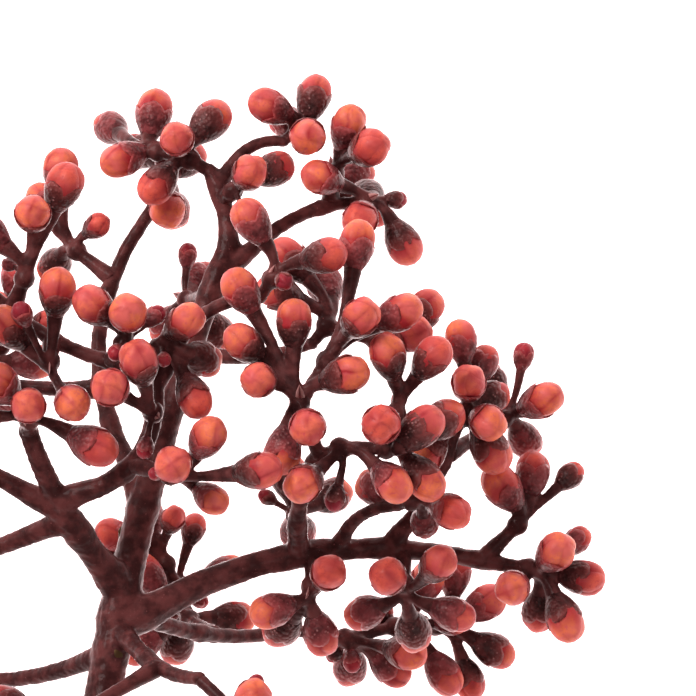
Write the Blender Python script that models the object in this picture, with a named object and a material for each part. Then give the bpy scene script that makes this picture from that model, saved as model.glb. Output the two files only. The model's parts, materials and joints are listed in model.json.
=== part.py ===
"""Cut panicle of flower buds of Japanese skimmia, lying on its side.

A maroon stem leans through the panicle and carries tapering boughs. Sprays of egg-shaped buds on short
stalks stand on the boughs. Each limb and each spray is an object of its own, a small gap clear of what
carries it.

Places are (across, along, high) in millimetres: along runs from the cut end towards the tip of the
panicle, and high is over the floor.
"""

import math
import random

import bmesh
import bpy
import numpy as np

MM = 0.001
PLANT = "skimmia_panicle"

# Clearances
GAP = 0.3
NEIGHBOUR_GAP = 0.12
STEP_ASIDE = 0.5
MOST_STEPS_ASIDE = 9
BALL_SPACING = 0.35
ROOT_STEP = 0.05
ROOT_SIDES = 8

# A ripe bud from the foot of its calyx to the tip of its petals. Its sections: share of length, of width
BUD_WIDTH = 3.75
BUD_LENGTH = 5.0
BUD_SIDES = 6
CALYX_SECTION = (0.24, 0.78)
PETAL_SECTION = (0.68, 1.0)
BUD_PROFILE = (
    (0.04, 0.3), (0.18, 0.66), (0.36, 0.9), (0.52, 1.0), (0.68, 0.98), (0.84, 0.6), (0.95, 0.25),
)
SIZE_SPREAD = 0.06

# The stalk of a bud leaves the fork partly along the stem, and reaches the bud along the bud's own axis
STALK_RADIUS = 0.5
STALK_CORNER_RADIUS = 0.6
STALK_NECK_RADIUS = 0.85
STALK_SIDES = 3
STALK_ALONG_STEM = 0.22
STALK_TO_BUD = 0.12
STALK_ARRIVAL = 0.3
LONG_STALK = 7.5
STALK_BALL_PLACES = 7
SHARED_ROOT = 1.6

# Stems of sprays, and the swollen node at each fork
KNOB_RADIUS = 1.05
KNOB_SIDES = 4
SPRAY_STEM_RADII = (0.78, 0.64)

# Limbs
LIMB_STATIONS = 7
LIMB_RINGS = 1
STEM_RINGS = 2

# The grown sprays on the sides that no view from the front shows
GROWN_FORKS = 3
GROWN_FORK_REACH = 6.2
GROWN_FORK_TILT = math.radians(20)
GROWN_FORK_ROOM = 1.6
GROWN_LEAST_HEIGHT = 3.0
GROWN_BUDS = (4, 3, 4)
GROWN_BUD_REACH = (5.6, 7.6)
GROWN_BUD_SIZES = (1.0, 1.0, 1.0, 0.9, 0.7)
GROWN_SPREAD = math.radians(78)
GROWN_FAN = 6
GROWN_TRIES = 48
GOLDEN_ANGLE = math.pi * (3 - math.sqrt(5))

SHARP_EDGE = math.radians(50)
BARK = ((0.075, 0.02, 0.018), 0.62)
BUDS = ((0.62, 0.09, 0.035), 0.42)

# The main stem
STEM_FOOT = (8.0, -20.0, 36.0)
STEM_TIP = (22.4, 45.5, 19.5)
STEM_BOW = (-2.8, 0.0, 0.0)
STEM_RADII = (2.3, 1.1)

# Each bough: its parent, how far up the parent it starts, its tip, its bow off the straight, its radii
BOUGHS = {
    "top_bough": ("main_stem", 1.0, (20.4, 53.2, 18.0), (0.5, 0.0, 0.0), (0.95, 0.75)),
    "crest_bough": ("top_bough", 0.8, (28.0, 56.4, 16.5), (-0.4, 1.2, 0.0), (0.7, 0.6)),
    "upper_right_bough": ("main_stem", 0.95, (34.4, 49.9, 16.5), (0.0, 1.2, 0.0), (0.85, 0.65)),
    "left_back_bough": ("main_stem", 0.58, (14.3, 49.8, 11.5), (-4.7, 0.0, -2.0), (1.0, 0.7)),
    "left_front_bough": ("main_stem", 0.455, (2.8, 26.4, 38.0), (-0.7, -0.3, 1.2), (1.5, 0.95)),
    "left_low_bough": ("left_front_bough", 0.45, (-13.0, 27.5, 37.0), (0.0, 0.4, 0.0), (1.0, 0.7)),
    "left_outer_bough": ("left_front_bough", 0.4, (-19.0, 11.5, 28.0), (-1.2, -1.8, -1.0), (1.0, 0.7)),
    "front_mid_bough": ("left_front_bough", 0.52, (15.2, 33.0, 38.8), (3.0, -2.2, 0.8), (1.05, 0.8)),
    "cross_bough": ("front_mid_bough", 0.98, (-3.0, 42.5, 36.5), (-0.6, -2.0, -0.3), (0.8, 0.6)),
    "arch_bough": ("front_mid_bough", 0.9, (26.0, 39.9, 37.0), (-1.0, 1.9, -0.8), (0.75, 0.65)),
    "mid_right_bough": ("main_stem", 0.83, (31.2, 35.3, 30.5), (0.0, -0.9, 0.0), (0.8, 0.62)),
    "right_low_bough": ("main_stem", 0.41, (50.5, 12.6, 25.0), (-1.0, 3.6, -1.0), (1.6, 0.8)),
    "right_front_bough": ("right_low_bough", 0.45, (31.8, 24.2, 37.2), (-0.8, 0.0, 0.0), (0.95, 0.75)),
    "right_inner_bough": ("right_low_bough", 0.55, (39.8, 18.8, 32.0), (-0.8, 0.8, 0.0), (0.7, 0.6)),
    "right_mid_bough": ("right_low_bough", 0.7, (45.5, 25.7, 29.4), (0.6, -0.4, 0.0), (0.85, 0.65)),
    "left_rear_bough": ("left_back_bough", 0.3, (-13.0, 34.0, 15.0), (0.0, -1.0, -1.0), (0.8, 0.62)),
    "low_left_bough": ("main_stem", 0.36, (-9.0, 1.0, 18.0), (0.0, -1.5, -1.0), (0.95, 0.7)),
    "low_front_bough": ("main_stem", 0.4, (20.0, 2.0, 43.0), (0.0, -1.0, 1.0), (0.95, 0.7)),
    "low_rear_bough": ("main_stem", 0.43, (29.0, 5.0, 11.0), (0.0, -1.5, -1.5), (0.95, 0.7)),
}


def bud(across, along, high, lean=0.0, size=1.0):
    """One bud: the middle of it, how far it leans to the front, and its size beside a ripe one."""
    return {"middle": np.array((across, along, high), float), "lean": lean, "size": size}


# Each spray of the side that shows: its limb, how far up the limb it stands, its forks with their buds
SHOWN_SPRAYS = {
    "left_high_spray": ("cross_bough", 0.74, [
        ((2.4, 41.8, 38.6), [
            bud(3.5, 48.1, 42.5, 2.0), bud(6.4, 51.0, 39.5, 0.3), bud(-1.6, 46.6, 39.0),
        ]),
    ]),
    "left_mid_spray": ("cross_bough", 0.5, [
        ((5.0, 33.4, 39.4), [
            bud(5.9, 40.5, 42.0, 0.3), bud(0.9, 36.9, 41.0, 0.3), bud(2.5, 38.2, 43.0, 0.3, 0.55),
            bud(7.5, 29.4, 44.5, 1.2),
        ]),
    ]),
    "centre_left_spray": ("cross_bough", 0.17, [
        ((12.4, 35.2, 40.4), [
            bud(9.6, 39.0, 42.3, 0.3), bud(13.1, 38.2, 43.8, 0.4), bud(15.5, 38.0, 40.5, 0.0, 0.5),
        ]),
    ]),
    "centre_spray": ("front_mid_bough", 1.0, [
        ((15.9, 34.8, 40.0), [
            bud(18.6, 37.4, 42.3, 0.2), bud(20.2, 33.7, 38.9, -0.9), bud(19.5, 29.9, 42.0, 0.3),
        ]),
    ]),
    "front_mid_spray": ("front_mid_bough", 0.78, [
        ((15.4, 28.4, 42.0), [bud(14.2, 33.4, 46.5, 0.4), bud(11.5, 30.9, 48.0, 2.0)]),
    ]),
    "left_low_front_spray": ("left_front_bough", 1.0, [
        ((3.0, 27.6, 40.5), [
            bud(3.3, 29.1, 46.0, 3.0), bud(9.6, 25.1, 43.0, 0.2), bud(0.2, 31.3, 43.5, 0.5),
            bud(-3.8, 27.5, 43.0, 0.3),
        ]),
    ]),
    "front_low_spray": ("front_mid_bough", 0.4, [
        ((17.2, 22.2, 41.5), [
            bud(17.6, 23.3, 47.0, 3.0), bud(20.9, 26.0, 43.0, 0.3),
            bud(21.2, 19.8, 41.5, 0.8, 0.85), bud(26.0, 22.7, 45.5, 0.2),
        ]),
    ]),
    "fork_front_spray": ("right_front_bough", 1.0, [
        ((30.0, 29.3, 39.3), [
            bud(24.4, 35.3, 41.5, 0.3), bud(29.4, 37.4, 40.0), bud(24.1, 40.6, 40.3, 0.2),
            bud(26.0, 31.6, 43.5, 1.5), bud(30.8, 27.0, 43.8, 2.5), bud(28.3, 24.5, 40.0),
            bud(34.6, 32.1, 41.5, 0.3),
        ]),
        ((32.6, 33.4, 38.5), [
            bud(36.0, 37.8, 42.0, 0.2), bud(35.7, 45.3, 36.5), bud(40.0, 38.3, 38.0, 0.2),
        ]),
    ]),
    "right_front_spray": ("right_front_bough", 0.9, [
        ((34.0, 24.8, 38.8), [
            bud(30.4, 21.4, 43.8, 0.8), bud(33.5, 19.8, 40.5, 0.0, 0.55),
            bud(39.2, 21.4, 42.0, 0.3),
        ]),
        ((38.6, 24.8, 39.2), [
            bud(38.1, 27.2, 44.0, 2.5), bud(42.1, 26.9, 41.5, -0.7), bud(44.4, 27.6, 36.0),
            bud(42.4, 21.7, 41.5, 0.2),
        ]),
        ((39.6, 28.2, 38.2), [bud(38.8, 34.1, 38.5), bud(43.2, 33.9, 39.5, 0.1)]),
    ]),
    "arch_top_spray": ("arch_bough", 1.0, [
        ((27.2, 41.8, 37.7), [bud(25.1, 47.6, 38.5, 0.1), bud(32.5, 44.0, 38.5, 0.1)]),
    ]),
    "mid_right_spray": ("mid_right_bough", 1.0, [
        ((32.6, 37.0, 30.0), [bud(28.9, 43.9, 29.0), bud(27.7, 40.4, 31.0), bud(32.4, 41.3, 27.0)]),
        ((37.6, 35.6, 29.5), [bud(41.2, 36.2, 32.0), bud(42.4, 38.6, 27.5)]),
    ]),
    "right_mid_spray": ("right_mid_bough", 1.0, [
        ((46.4, 27.8, 30.0), [
            bud(46.3, 35.6, 30.0, 0.0, 0.85), bud(48.7, 33.3, 28.0, 0.0, 0.85),
            bud(47.0, 31.2, 34.0, 0.3), bud(49.5, 29.8, 30.5, 0.0, 0.85),
            bud(48.9, 27.3, 33.8, 0.3), bud(49.3, 24.4, 31.0), bud(42.8, 24.2, 34.0),
        ]),
    ]),
    "right_far_spray": ("right_mid_bough", 0.84, [
        ((50.8, 27.4, 22.0), [
            bud(53.0, 34.0, 20.5, 0.0, 0.6), bud(54.8, 29.4, 23.5), bud(53.2, 25.2, 18.5, 0.0, 0.9),
            bud(49.5, 31.5, 18.0),
        ]),
    ]),
    "right_low_spray": ("right_low_bough", 0.95, [
        ((52.2, 16.6, 25.2), [
            bud(53.8, 21.9, 24.0), bud(57.7, 21.6, 23.0, 0.0, 0.7), bud(50.6, 20.6, 28.5),
        ]),
    ]),
    "right_end_spray": ("right_low_bough", 1.0, [
        ((53.2, 12.2, 25.0), [
            bud(56.0, 13.9, 28.0), bud(58.4, 14.9, 22.5, 0.0, 0.75), bud(58.9, 11.2, 25.0),
            bud(51.6, 10.4, 29.5, 1.0), bud(54.5, 7.5, 22.0), bud(57.0, 7.0, 26.5),
        ]),
    ]),
    "right_inner_spray": ("right_inner_bough", 1.0, [
        ((41.2, 19.4, 33.6), [
            bud(45.1, 18.4, 37.0, 0.2), bud(37.7, 20.6, 30.0), bud(42.6, 17.0, 29.0, 0.0, 0.8),
        ]),
    ]),
    "low_right_spray": ("right_low_bough", 0.74, [
        ((40.6, 10.6, 27.5), [
            bud(43.9, 12.9, 32.0, 0.2), bud(38.9, 11.6, 32.5, 0.6), bud(36.5, 7.6, 25.0),
            bud(41.5, 5.6, 24.0), bud(45.6, 7.6, 28.0),
        ]),
    ]),
    "low_middle_spray": ("right_low_bough", 0.5, [
        ((31.0, 10.4, 27.5), [
            bud(32.8, 12.0, 32.5, 0.5), bud(27.0, 8.0, 29.0), bud(32.0, 5.4, 26.0),
            bud(28.0, 6.0, 23.0),
        ]),
    ]),
    "inner_back_spray": ("right_front_bough", 0.3, [
        ((29.4, 17.6, 24.0), [bud(28.6, 21.6, 20.5), bud(33.2, 19.4, 18.0), bud(29.6, 15.6, 17.5)]),
    ]),
    "top_left_spray": ("top_bough", 1.0, [
        ((18.4, 54.4, 17.6), [
            bud(17.1, 56.4, 21.0, 0.6), bud(15.0, 51.8, 19.0), bud(20.4, 58.6, 15.5),
        ]),
        ((14.8, 55.4, 15.6), [bud(11.2, 54.5, 16.5), bud(9.6, 58.2, 10.5), bud(14.4, 59.6, 13.5)]),
    ]),
    "top_middle_spray": ("top_bough", 0.62, [
        ((22.8, 51.0, 20.6), [bud(24.6, 52.8, 24.0, 0.3), bud(27.1, 53.4, 18.6)]),
    ]),
    "crest_spray": ("crest_bough", 1.0, [
        ((29.6, 57.6, 16.0), [
            bud(30.6, 56.8, 20.0, 0.4), bud(26.6, 60.0, 17.5), bud(31.2, 61.2, 15.0),
            bud(28.4, 58.6, 11.5),
        ]),
    ]),
    "upper_right_spray": ("upper_right_bough", 1.0, [
        ((36.6, 50.2, 17.0), [
            bud(32.0, 52.5, 20.0, 0.3), bud(36.1, 48.2, 20.5, 0.5), bud(36.9, 50.8, 12.5),
            bud(39.8, 50.3, 16.0, 0.0, 0.5), bud(40.6, 45.7, 17.0),
        ]),
    ]),
    "upper_far_spray": ("upper_right_bough", 0.85, [
        ((33.4, 53.0, 15.0), [bud(34.8, 58.0, 16.0), bud(37.0, 55.6, 17.5)]),
        ((33.0, 51.6, 8.0), [bud(35.6, 53.4, 2.3), bud(37.0, 49.6, 5.5)]),
    ]),
    "back_left_spray": ("left_back_bough", 0.72, [
        ((6.2, 45.0, 11.5), [
            bud(4.6, 53.4, 13.0), bud(2.6, 50.1, 10.0), bud(3.6, 43.6, 7.0),
            bud(8.4, 47.6, 14.0, 0.0, 0.65),
        ]),
    ]),
    "back_top_spray": ("left_back_bough", 1.0, [
        ((15.3, 51.8, 10.8), [
            bud(15.9, 49.4, 15.5, 0.4), bud(12.6, 55.8, 8.5), bud(17.8, 54.8, 8.0),
            bud(16.0, 49.6, 2.2),
        ]),
    ]),
    "back_sprig_spray": ("main_stem", 0.92, [
        ((17.9, 39.8, 14.0), [
            bud(17.9, 44.6, 12.5, 0.0, 0.5), bud(15.6, 37.2, 10.0), bud(20.6, 36.6, 8.0),
            bud(19.0, 42.0, 7.0),
        ]),
    ]),
}

# Each grown spray: its limb, how far up the limb it stands, its first fork, the seed of its rule
GROWN_SPRAYS = {
    "cross_end_spray": ("cross_bough", 1.0, (-8.0, 45.0, 36.0), 3),
    "left_low_end_spray": ("left_low_bough", 1.0, (-18.5, 28.5, 38.0), 5),
    "left_low_side_spray": ("left_low_bough", 0.6, (-8.0, 31.0, 42.0), 8),
    "left_outer_end_spray": ("left_outer_bough", 1.0, (-25.0, 12.0, 28.0), 13),
    "left_outer_front_spray": ("left_outer_bough", 0.55, (-10.0, 12.0, 38.0), 21),
    "left_outer_back_spray": ("left_outer_bough", 0.7, (-14.0, 18.0, 21.0), 34),
    "left_rear_end_spray": ("left_rear_bough", 1.0, (-18.5, 37.5, 15.0), 55),
    "left_rear_side_spray": ("left_rear_bough", 0.6, (-4.0, 33.0, 8.5), 89),
    "low_left_spray": ("low_left_bough", 1.0, (-13.5, -1.0, 15.0), 144),
    "low_front_spray": ("low_front_bough", 1.0, (23.5, -1.0, 45.5), 233),
    "low_front_side_spray": ("low_front_bough", 0.45, (7.0, -2.0, 44.5), 377),
    "low_rear_spray": ("low_rear_bough", 1.0, (34.5, 4.0, 8.5), 610),
    "low_rear_side_spray": ("low_rear_bough", 0.5, (18.0, 6.0, 8.5), 987),
}


def unit(vector):
    return vector / max(np.linalg.norm(vector), 1e-9)


def across_from(heading):
    """Two unit vectors square to a heading and to each other."""
    side = unit(np.cross(heading, (0.0, 0.0, 1.0) if abs(heading[2]) < 0.9 else (1.0, 0.0, 0.0)))
    return side, np.cross(heading, side)


def bowed(start, end, bow, count):
    """Points on the arc from start to end whose middle lies off the straight line by bow."""
    start, end, bow = (np.array(place, float) for place in (start, end, bow))
    along = np.linspace(0, 1, count)[:, None]
    return start + (end - start) * along + 4 * along * (1 - along) * bow


def swept(start, leave, arrive, end, count):
    """Points on the curve that leaves start towards leave and reaches end from arrive."""
    t = np.linspace(0, 1, count)[:, None]
    rest = 1 - t
    return rest**3 * start + 3 * t * rest**2 * leave + 3 * t**2 * rest * arrive + t**3 * end


def balls_along(path, radii):
    """Balls strung along a path closely enough to stand for its tube in a test of clearance."""
    rows = []
    points = np.column_stack((path, radii))
    for first, last in zip(points[:-1], points[1:]):
        steps = max(2, math.ceil(np.linalg.norm(last - first) / BALL_SPACING))
        for share in np.linspace(0, 1, steps, endpoint=False):
            rows.append(first + (last - first) * share)
    rows.append(points[-1])
    return np.array(rows)


def room_between(balls, others):
    """The least gap between two sets of balls."""
    if not len(balls) or not len(others):
        return math.inf
    apart = np.linalg.norm(balls[:, None, :3] - others[None, :, :3], axis=2)
    return float((apart - balls[:, None, 3] - others[None, :, 3]).min())


class Limb:
    """One tapering limb: its path from root to tip and the radius at each point of it."""

    def __init__(self, name, path, radii):
        self.name = name
        self.path = path
        self.radii = np.linspace(*radii, len(path))
        self.balls = balls_along(path, self.radii)
        blunt = path.copy()
        blunt[-1] -= unit(path[-1] - path[-2]) * self.radii[-1]
        self.blunt_balls = balls_along(blunt, self.radii)

    def at(self, share):
        place = share * (len(self.path) - 1)
        first = min(int(place), len(self.path) - 2)
        rest = place - first
        return self.path[first] * (1 - rest) + self.path[first + 1] * rest

    def root_towards(self, share, place, radius):
        """Where something that grows from here towards a place starts, GAP clear of this limb."""
        root = self.at(share)
        heading = unit(np.array(place, float) - root)
        side, other = across_from(heading)
        angles = np.linspace(0, math.tau, ROOT_SIDES, endpoint=False)[:, None]
        rim = (side * np.cos(angles) + other * np.sin(angles)) * radius
        face = np.column_stack((np.vstack((root, root + rim)), np.zeros(ROOT_SIDES + 1)))
        while room_between(face, self.blunt_balls) < GAP:
            face[:, :3] += heading * ROOT_STEP
        return face[0, :3]


def grow_limbs():
    stem_path = bowed(STEM_FOOT, STEM_TIP, STEM_BOW, LIMB_STATIONS + 1)
    limbs = {"main_stem": Limb("main_stem", stem_path, STEM_RADII)}
    for name, (parent, share, tip, bow, radii) in BOUGHS.items():
        middle_of_arc = np.array(tip) + 2 * np.array(bow)
        root = limbs[parent].root_towards(share, middle_of_arc, radii[0])
        limbs[name] = Limb(name, bowed(root, tip, bow, LIMB_STATIONS), radii)
    return limbs


class Bud:
    """One bud on its stalk, which leaves the fork along its stem and bends round to the bud."""

    def __init__(self, fork, heading, spec, scale=1.0):
        self.size = spec["size"] * scale
        self.length = BUD_LENGTH * self.size
        self.radius = BUD_WIDTH * self.size / 2
        away = spec["middle"] - fork
        reach = np.linalg.norm(away)
        leave = fork + heading * STALK_ALONG_STEM * reach + away * STALK_TO_BUD
        self.axis = unit(unit(spec["middle"] - leave) + np.array((0.0, 0.0, spec["lean"])))
        shares, widths = np.array(BUD_PROFILE).T
        radii = widths * self.radius
        places = spec["middle"] + np.outer((shares - 0.5) * self.length, self.axis)
        lift = np.array((0.0, 0.0, max(0.0, (radii - places[:, 2]).max())))
        self.middle = spec["middle"] + lift
        self.balls = np.column_stack((places + lift, radii))
        self.foot = self.middle - self.axis * self.length / 2
        self.tip = self.middle + self.axis * self.length / 2
        arrive = self.foot - self.axis * STALK_ARRIVAL * reach
        self.stalk = swept(fork, leave, arrive, self.foot, 3 if reach > LONG_STALK else 2)
        fine = swept(fork, leave, arrive, self.foot, STALK_BALL_PLACES)
        self.stalk_balls = balls_along(fine, np.full(STALK_BALL_PLACES, STALK_RADIUS))


class Spray:
    """One spray: stems from a limb through its forks, and the buds that stand on each fork."""

    def __init__(self, name, root, forks):
        self.name = name
        self.stems = []
        self.buds = []
        start = root
        for place in forks:
            self.stems.append(np.array((start, place)))
            start = place
        self.stem_balls = np.concatenate([balls_along(path, SPRAY_STEM_RADII) for path in self.stems])

    def heading(self, index):
        start, end = self.stems[index]
        return unit(end - start)

    def all_balls(self):
        parts = [self.stem_balls]
        for shown in self.buds:
            parts += [shown.balls, shown.stalk_balls]
        return np.concatenate(parts)

    def takes(self, new, taken, fork):
        """Whether a bud is clear of everything else and of the spray's other buds."""
        if room_between(np.concatenate((new.balls, new.stalk_balls)), taken) < GAP:
            return False
        rooms = [room_between(new.balls, self.stem_balls)]
        for other in self.buds:
            rooms.append(room_between(new.balls, other.balls))
            rooms.append(room_between(new.balls, beyond(other.stalk_balls, fork)))
            rooms.append(room_between(beyond(new.stalk_balls, fork), other.balls))
        return min(rooms) >= NEIGHBOUR_GAP


def beyond(balls, fork):
    """The balls that lie outside the root which the stalks of a fork share."""
    return balls[np.linalg.norm(balls[:, :3] - fork, axis=1) > SHARED_ROOT]


def steps_aside():
    """The listed height first, then heights ever further from it on both sides."""
    yield 0.0
    for count in range(1, MOST_STEPS_ASIDE + 1):
        yield count * STEP_ASIDE
        yield -count * STEP_ASIDE


def grow_shown(name, limbs, taken, dice):
    """A spray of the side that shows. A bud that would touch a neighbour moves up or down."""
    parent, share, forks = SHOWN_SPRAYS[name]
    places = [np.array(place, float) for place, _ in forks]
    root = limbs[parent].root_towards(share, places[0], SPRAY_STEM_RADII[0])
    spray = Spray(name, root, places)
    for index, (_, specs) in enumerate(forks):
        for spec in specs:
            scale = 1 + dice.uniform(-SIZE_SPREAD, SIZE_SPREAD)
            for aside in steps_aside():
                moved = dict(spec, middle=spec["middle"] + np.array((0.0, 0.0, aside)))
                new = Bud(places[index], spray.heading(index), moved, scale)
                if spray.takes(new, taken, places[index]):
                    spray.buds.append(new)
                    break
    return spray


def tilted(heading, tilt, angle):
    """The direction that stands off a heading by a tilt, turned round the heading by an angle."""
    side, other = across_from(heading)
    outwards = side * math.cos(angle) + other * math.sin(angle)
    return unit(heading * math.cos(tilt) + outwards * math.sin(tilt))


def grow_forks(first, heading, taken, dice):
    """Forks one after another: each goes nearly straight on, or turns further where another solid is."""
    forks = [first]
    while len(forks) < GROWN_FORKS:
        for attempt in range(GROWN_TRIES):
            tilt = GROWN_FORK_TILT + (GROWN_SPREAD - GROWN_FORK_TILT) * attempt / GROWN_TRIES
            place = forks[-1] + tilted(heading, tilt, dice.uniform(0, math.tau)) * GROWN_FORK_REACH
            place[2] = max(place[2], GROWN_LEAST_HEIGHT)
            stem = balls_along(np.array((forks[-1], place)), np.full(2, GROWN_FORK_ROOM))
            if room_between(stem, taken) > GAP:
                forks.append(place)
                break
        else:
            break
    return forks


def grow_hidden(name, limbs, taken):
    """A spray grown by rule: a few buds fan out from each fork, and none where another solid is."""
    parent, share, first, seed = GROWN_SPRAYS[name]
    dice = random.Random(seed)
    first = np.array(first)
    root = limbs[parent].root_towards(share, first, SPRAY_STEM_RADII[0])
    forks = grow_forks(first, unit(first - root), taken, dice)
    spray = Spray(name, root, forks)
    for index, (place, wanted) in enumerate(zip(forks, GROWN_BUDS)):
        turn = dice.uniform(0, math.tau)
        grown = 0
        for attempt in range(GROWN_TRIES):
            if grown == wanted:
                break
            tilt = GROWN_SPREAD * math.sqrt((attempt % GROWN_FAN + 0.5) / GROWN_FAN)
            ahead = tilted(spray.heading(index), tilt, turn + attempt * GOLDEN_ANGLE)
            middle = place + ahead * dice.uniform(*GROWN_BUD_REACH)
            new = Bud(place, spray.heading(index), bud(*middle, size=dice.choice(GROWN_BUD_SIZES)))
            if spray.takes(new, taken, place):
                spray.buds.append(new)
                grown += 1
    return spray


def grow_sprays(limbs):
    taken = np.concatenate([limb.balls for limb in limbs.values()])
    dice = random.Random(11)
    sprays = []
    for name in SHOWN_SPRAYS:
        sprays.append(grow_shown(name, limbs, taken, dice))
        taken = np.concatenate((taken, sprays[-1].all_balls()))
    for name in GROWN_SPRAYS:
        sprays.append(grow_hidden(name, limbs, taken))
        taken = np.concatenate((taken, sprays[-1].all_balls()))
    return sprays


def material(name, colour, roughness):
    made = bpy.data.materials.new(name)
    made.use_nodes = True
    shader = made.node_tree.nodes["Principled BSDF"]
    shader.inputs["Base Color"].default_value = (*colour, 1)
    shader.inputs["Roughness"].default_value = roughness
    shader.inputs["Metallic"].default_value = 0
    made.diffuse_color = (*colour, 1)
    return made


def add_object(name, mesh, collection):
    made = bpy.data.objects.new(name, mesh)
    collection.objects.link(made)
    return made


def meshed(curve_object, name, collection):
    """The curve's tube as a closed mesh object in the curve's place. The curve is removed."""
    bpy.context.view_layer.update()
    evaluated = curve_object.evaluated_get(bpy.context.evaluated_depsgraph_get())
    mesh = bpy.data.meshes.new_from_object(evaluated)
    shape = bmesh.new()
    shape.from_mesh(mesh)
    bmesh.ops.remove_doubles(shape, verts=shape.verts, dist=1e-6)
    bmesh.ops.recalc_face_normals(shape, faces=shape.faces)
    shape.to_mesh(mesh)
    shape.free()
    place = curve_object.matrix_world.copy()
    curve = curve_object.data
    bpy.data.objects.remove(curve_object)
    bpy.data.curves.remove(curve)
    mesh.name = name
    made = add_object(name, mesh, collection)
    made.matrix_world = place
    return made


def tube(name, path, radii, collection, rings=0):
    """A tapering tube along a path, with four sides or, for each ring more, two sides more."""
    curve = bpy.data.curves.new(name, "CURVE")
    curve.dimensions = "3D"
    curve.use_fill_caps = True
    curve.bevel_depth = MM
    curve.bevel_resolution = rings
    line = curve.splines.new("POLY")
    line.points.add(len(path) - 1)
    for point, place, radius in zip(line.points, path, radii):
        point.co = (*(place * MM), 1)
        point.radius = radius
    return meshed(add_object(name, curve, collection), name, collection)


def knob(name, place, collection):
    """The swollen node of a fork."""
    shape = bmesh.new()
    bmesh.ops.create_uvsphere(shape, u_segments=KNOB_SIDES, v_segments=2, radius=KNOB_RADIUS * MM)
    bmesh.ops.translate(shape, verts=shape.verts, vec=place * MM)
    mesh = bpy.data.meshes.new(name)
    shape.to_mesh(mesh)
    shape.free()
    return add_object(name, mesh, collection)


def ring(shape, centre, side, other, radius, sides):
    """Vertices of one section, evenly round a centre."""
    made = []
    for index in range(sides):
        angle = index * math.tau / sides
        outwards = side * math.cos(angle) + other * math.sin(angle)
        made.append(shape.verts.new((centre + outwards * radius) * MM))
    return made


def bud_solid(name, shown, collection):
    """A loft from a three-sided stalk to a six-sided egg: calyx, full petals and a blunt tip."""
    shape = bmesh.new()
    side, other = across_from(shown.axis)
    stalk = [ring(shape, place, side, other, STALK_CORNER_RADIUS, STALK_SIDES) for place in shown.stalk[:-1]]
    stalk.append(ring(shape, shown.foot, side, other, STALK_NECK_RADIUS * shown.size, STALK_SIDES))
    egg = []
    for share, width in (CALYX_SECTION, PETAL_SECTION):
        centre = shown.foot + shown.axis * share * shown.length
        egg.append(ring(shape, centre, side, other, width * shown.radius, BUD_SIDES))
    tip = shape.verts.new(shown.tip * MM)
    shape.faces.new(stalk[0][::-1])
    for near, far in (*zip(stalk[:-1], stalk[1:]), *zip(egg[:-1], egg[1:])):
        count = len(near)
        for index in range(count):
            after = (index + 1) % count
            shape.faces.new((near[index], near[after], far[after], far[index]))
    for index, corner in enumerate(stalk[-1]):
        after = stalk[-1][(index + 1) % STALK_SIDES]
        low, middle, high = (egg[0][(2 * index + step) % BUD_SIDES] for step in range(3))
        shape.faces.new((corner, middle, low))
        shape.faces.new((corner, after, middle))
        shape.faces.new((after, high, middle))
    for index, corner in enumerate(egg[-1]):
        shape.faces.new((corner, egg[-1][(index + 1) % BUD_SIDES], tip))
    bmesh.ops.recalc_face_normals(shape, faces=shape.faces)
    mesh = bpy.data.meshes.new(name)
    shape.to_mesh(mesh)
    shape.free()
    return add_object(name, mesh, collection)


def unite(base, pieces):
    """Fuses every object of a collection onto the base as one mesh, and removes them."""
    join = base.modifiers.new("join", "BOOLEAN")
    join.operation = "UNION"
    join.operand_type = "COLLECTION"
    join.collection = pieces
    bpy.context.view_layer.update()
    evaluated = base.evaluated_get(bpy.context.evaluated_depsgraph_get())
    mesh = bpy.data.meshes.new_from_object(evaluated)
    mesh.name = base.name
    base.modifiers.clear()
    base.data = mesh
    for piece in list(pieces.objects):
        bpy.data.objects.remove(piece)


def finish(made, name, look):
    """Gives an object its one material and soft shading with sharp edges."""
    made.data.materials.clear()
    made.data.materials.append(material(name, *look))
    made.data.shade_smooth()
    made.data.set_sharp_from_angle(angle=SHARP_EDGE)
    return made


def build_limb(limb, collection):
    rings = STEM_RINGS if limb.name == "main_stem" else LIMB_RINGS
    made = tube(limb.name, limb.path, limb.radii, collection, rings)
    return finish(made, limb.name + "_bark", BARK)


def build_spray(spray, collection, pieces):
    base = tube(spray.name, spray.stems[0], SPRAY_STEM_RADII, collection)
    for index, path in enumerate(spray.stems[1:]):
        tube(f"stem_{index}", path, SPRAY_STEM_RADII, pieces)
    for index, path in enumerate(spray.stems):
        knob(f"knob_{index}", path[-1], pieces)
    for index, shown in enumerate(spray.buds):
        bud_solid(f"bud_{index}", shown, pieces)
    unite(base, pieces)
    return finish(base, spray.name + "_buds", BUDS)


def centre_on_floor(objects):
    """Moves the plant so that the middle of its box's underside is the world's origin."""
    corners = np.array([vertex.co for made in objects for vertex in made.data.vertices])
    low = corners.min(axis=0)
    high = corners.max(axis=0)
    shift = -np.array(((low[0] + high[0]) / 2, (low[1] + high[1]) / 2, low[2]))
    for made in objects:
        for vertex in made.data.vertices:
            vertex.co = np.array(vertex.co) + shift


def main():
    for old in list(bpy.data.objects):
        bpy.data.objects.remove(old)
    plant = bpy.data.collections.new(PLANT)
    pieces = bpy.data.collections.new("joined_pieces")
    for collection in (plant, pieces):
        bpy.context.scene.collection.children.link(collection)
    limbs = grow_limbs()
    made = [build_limb(limb, plant) for limb in limbs.values()]
    made += [build_spray(spray, plant, pieces) for spray in grow_sprays(limbs)]
    centre_on_floor(made)


main()
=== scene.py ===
"""Looks of the cut skimmia panicle: the same growth as the solids, with finer limbs, calyces and petals."""

import json
import math
import random

import bpy
import numpy as np
from mathutils import Matrix, Vector


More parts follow.
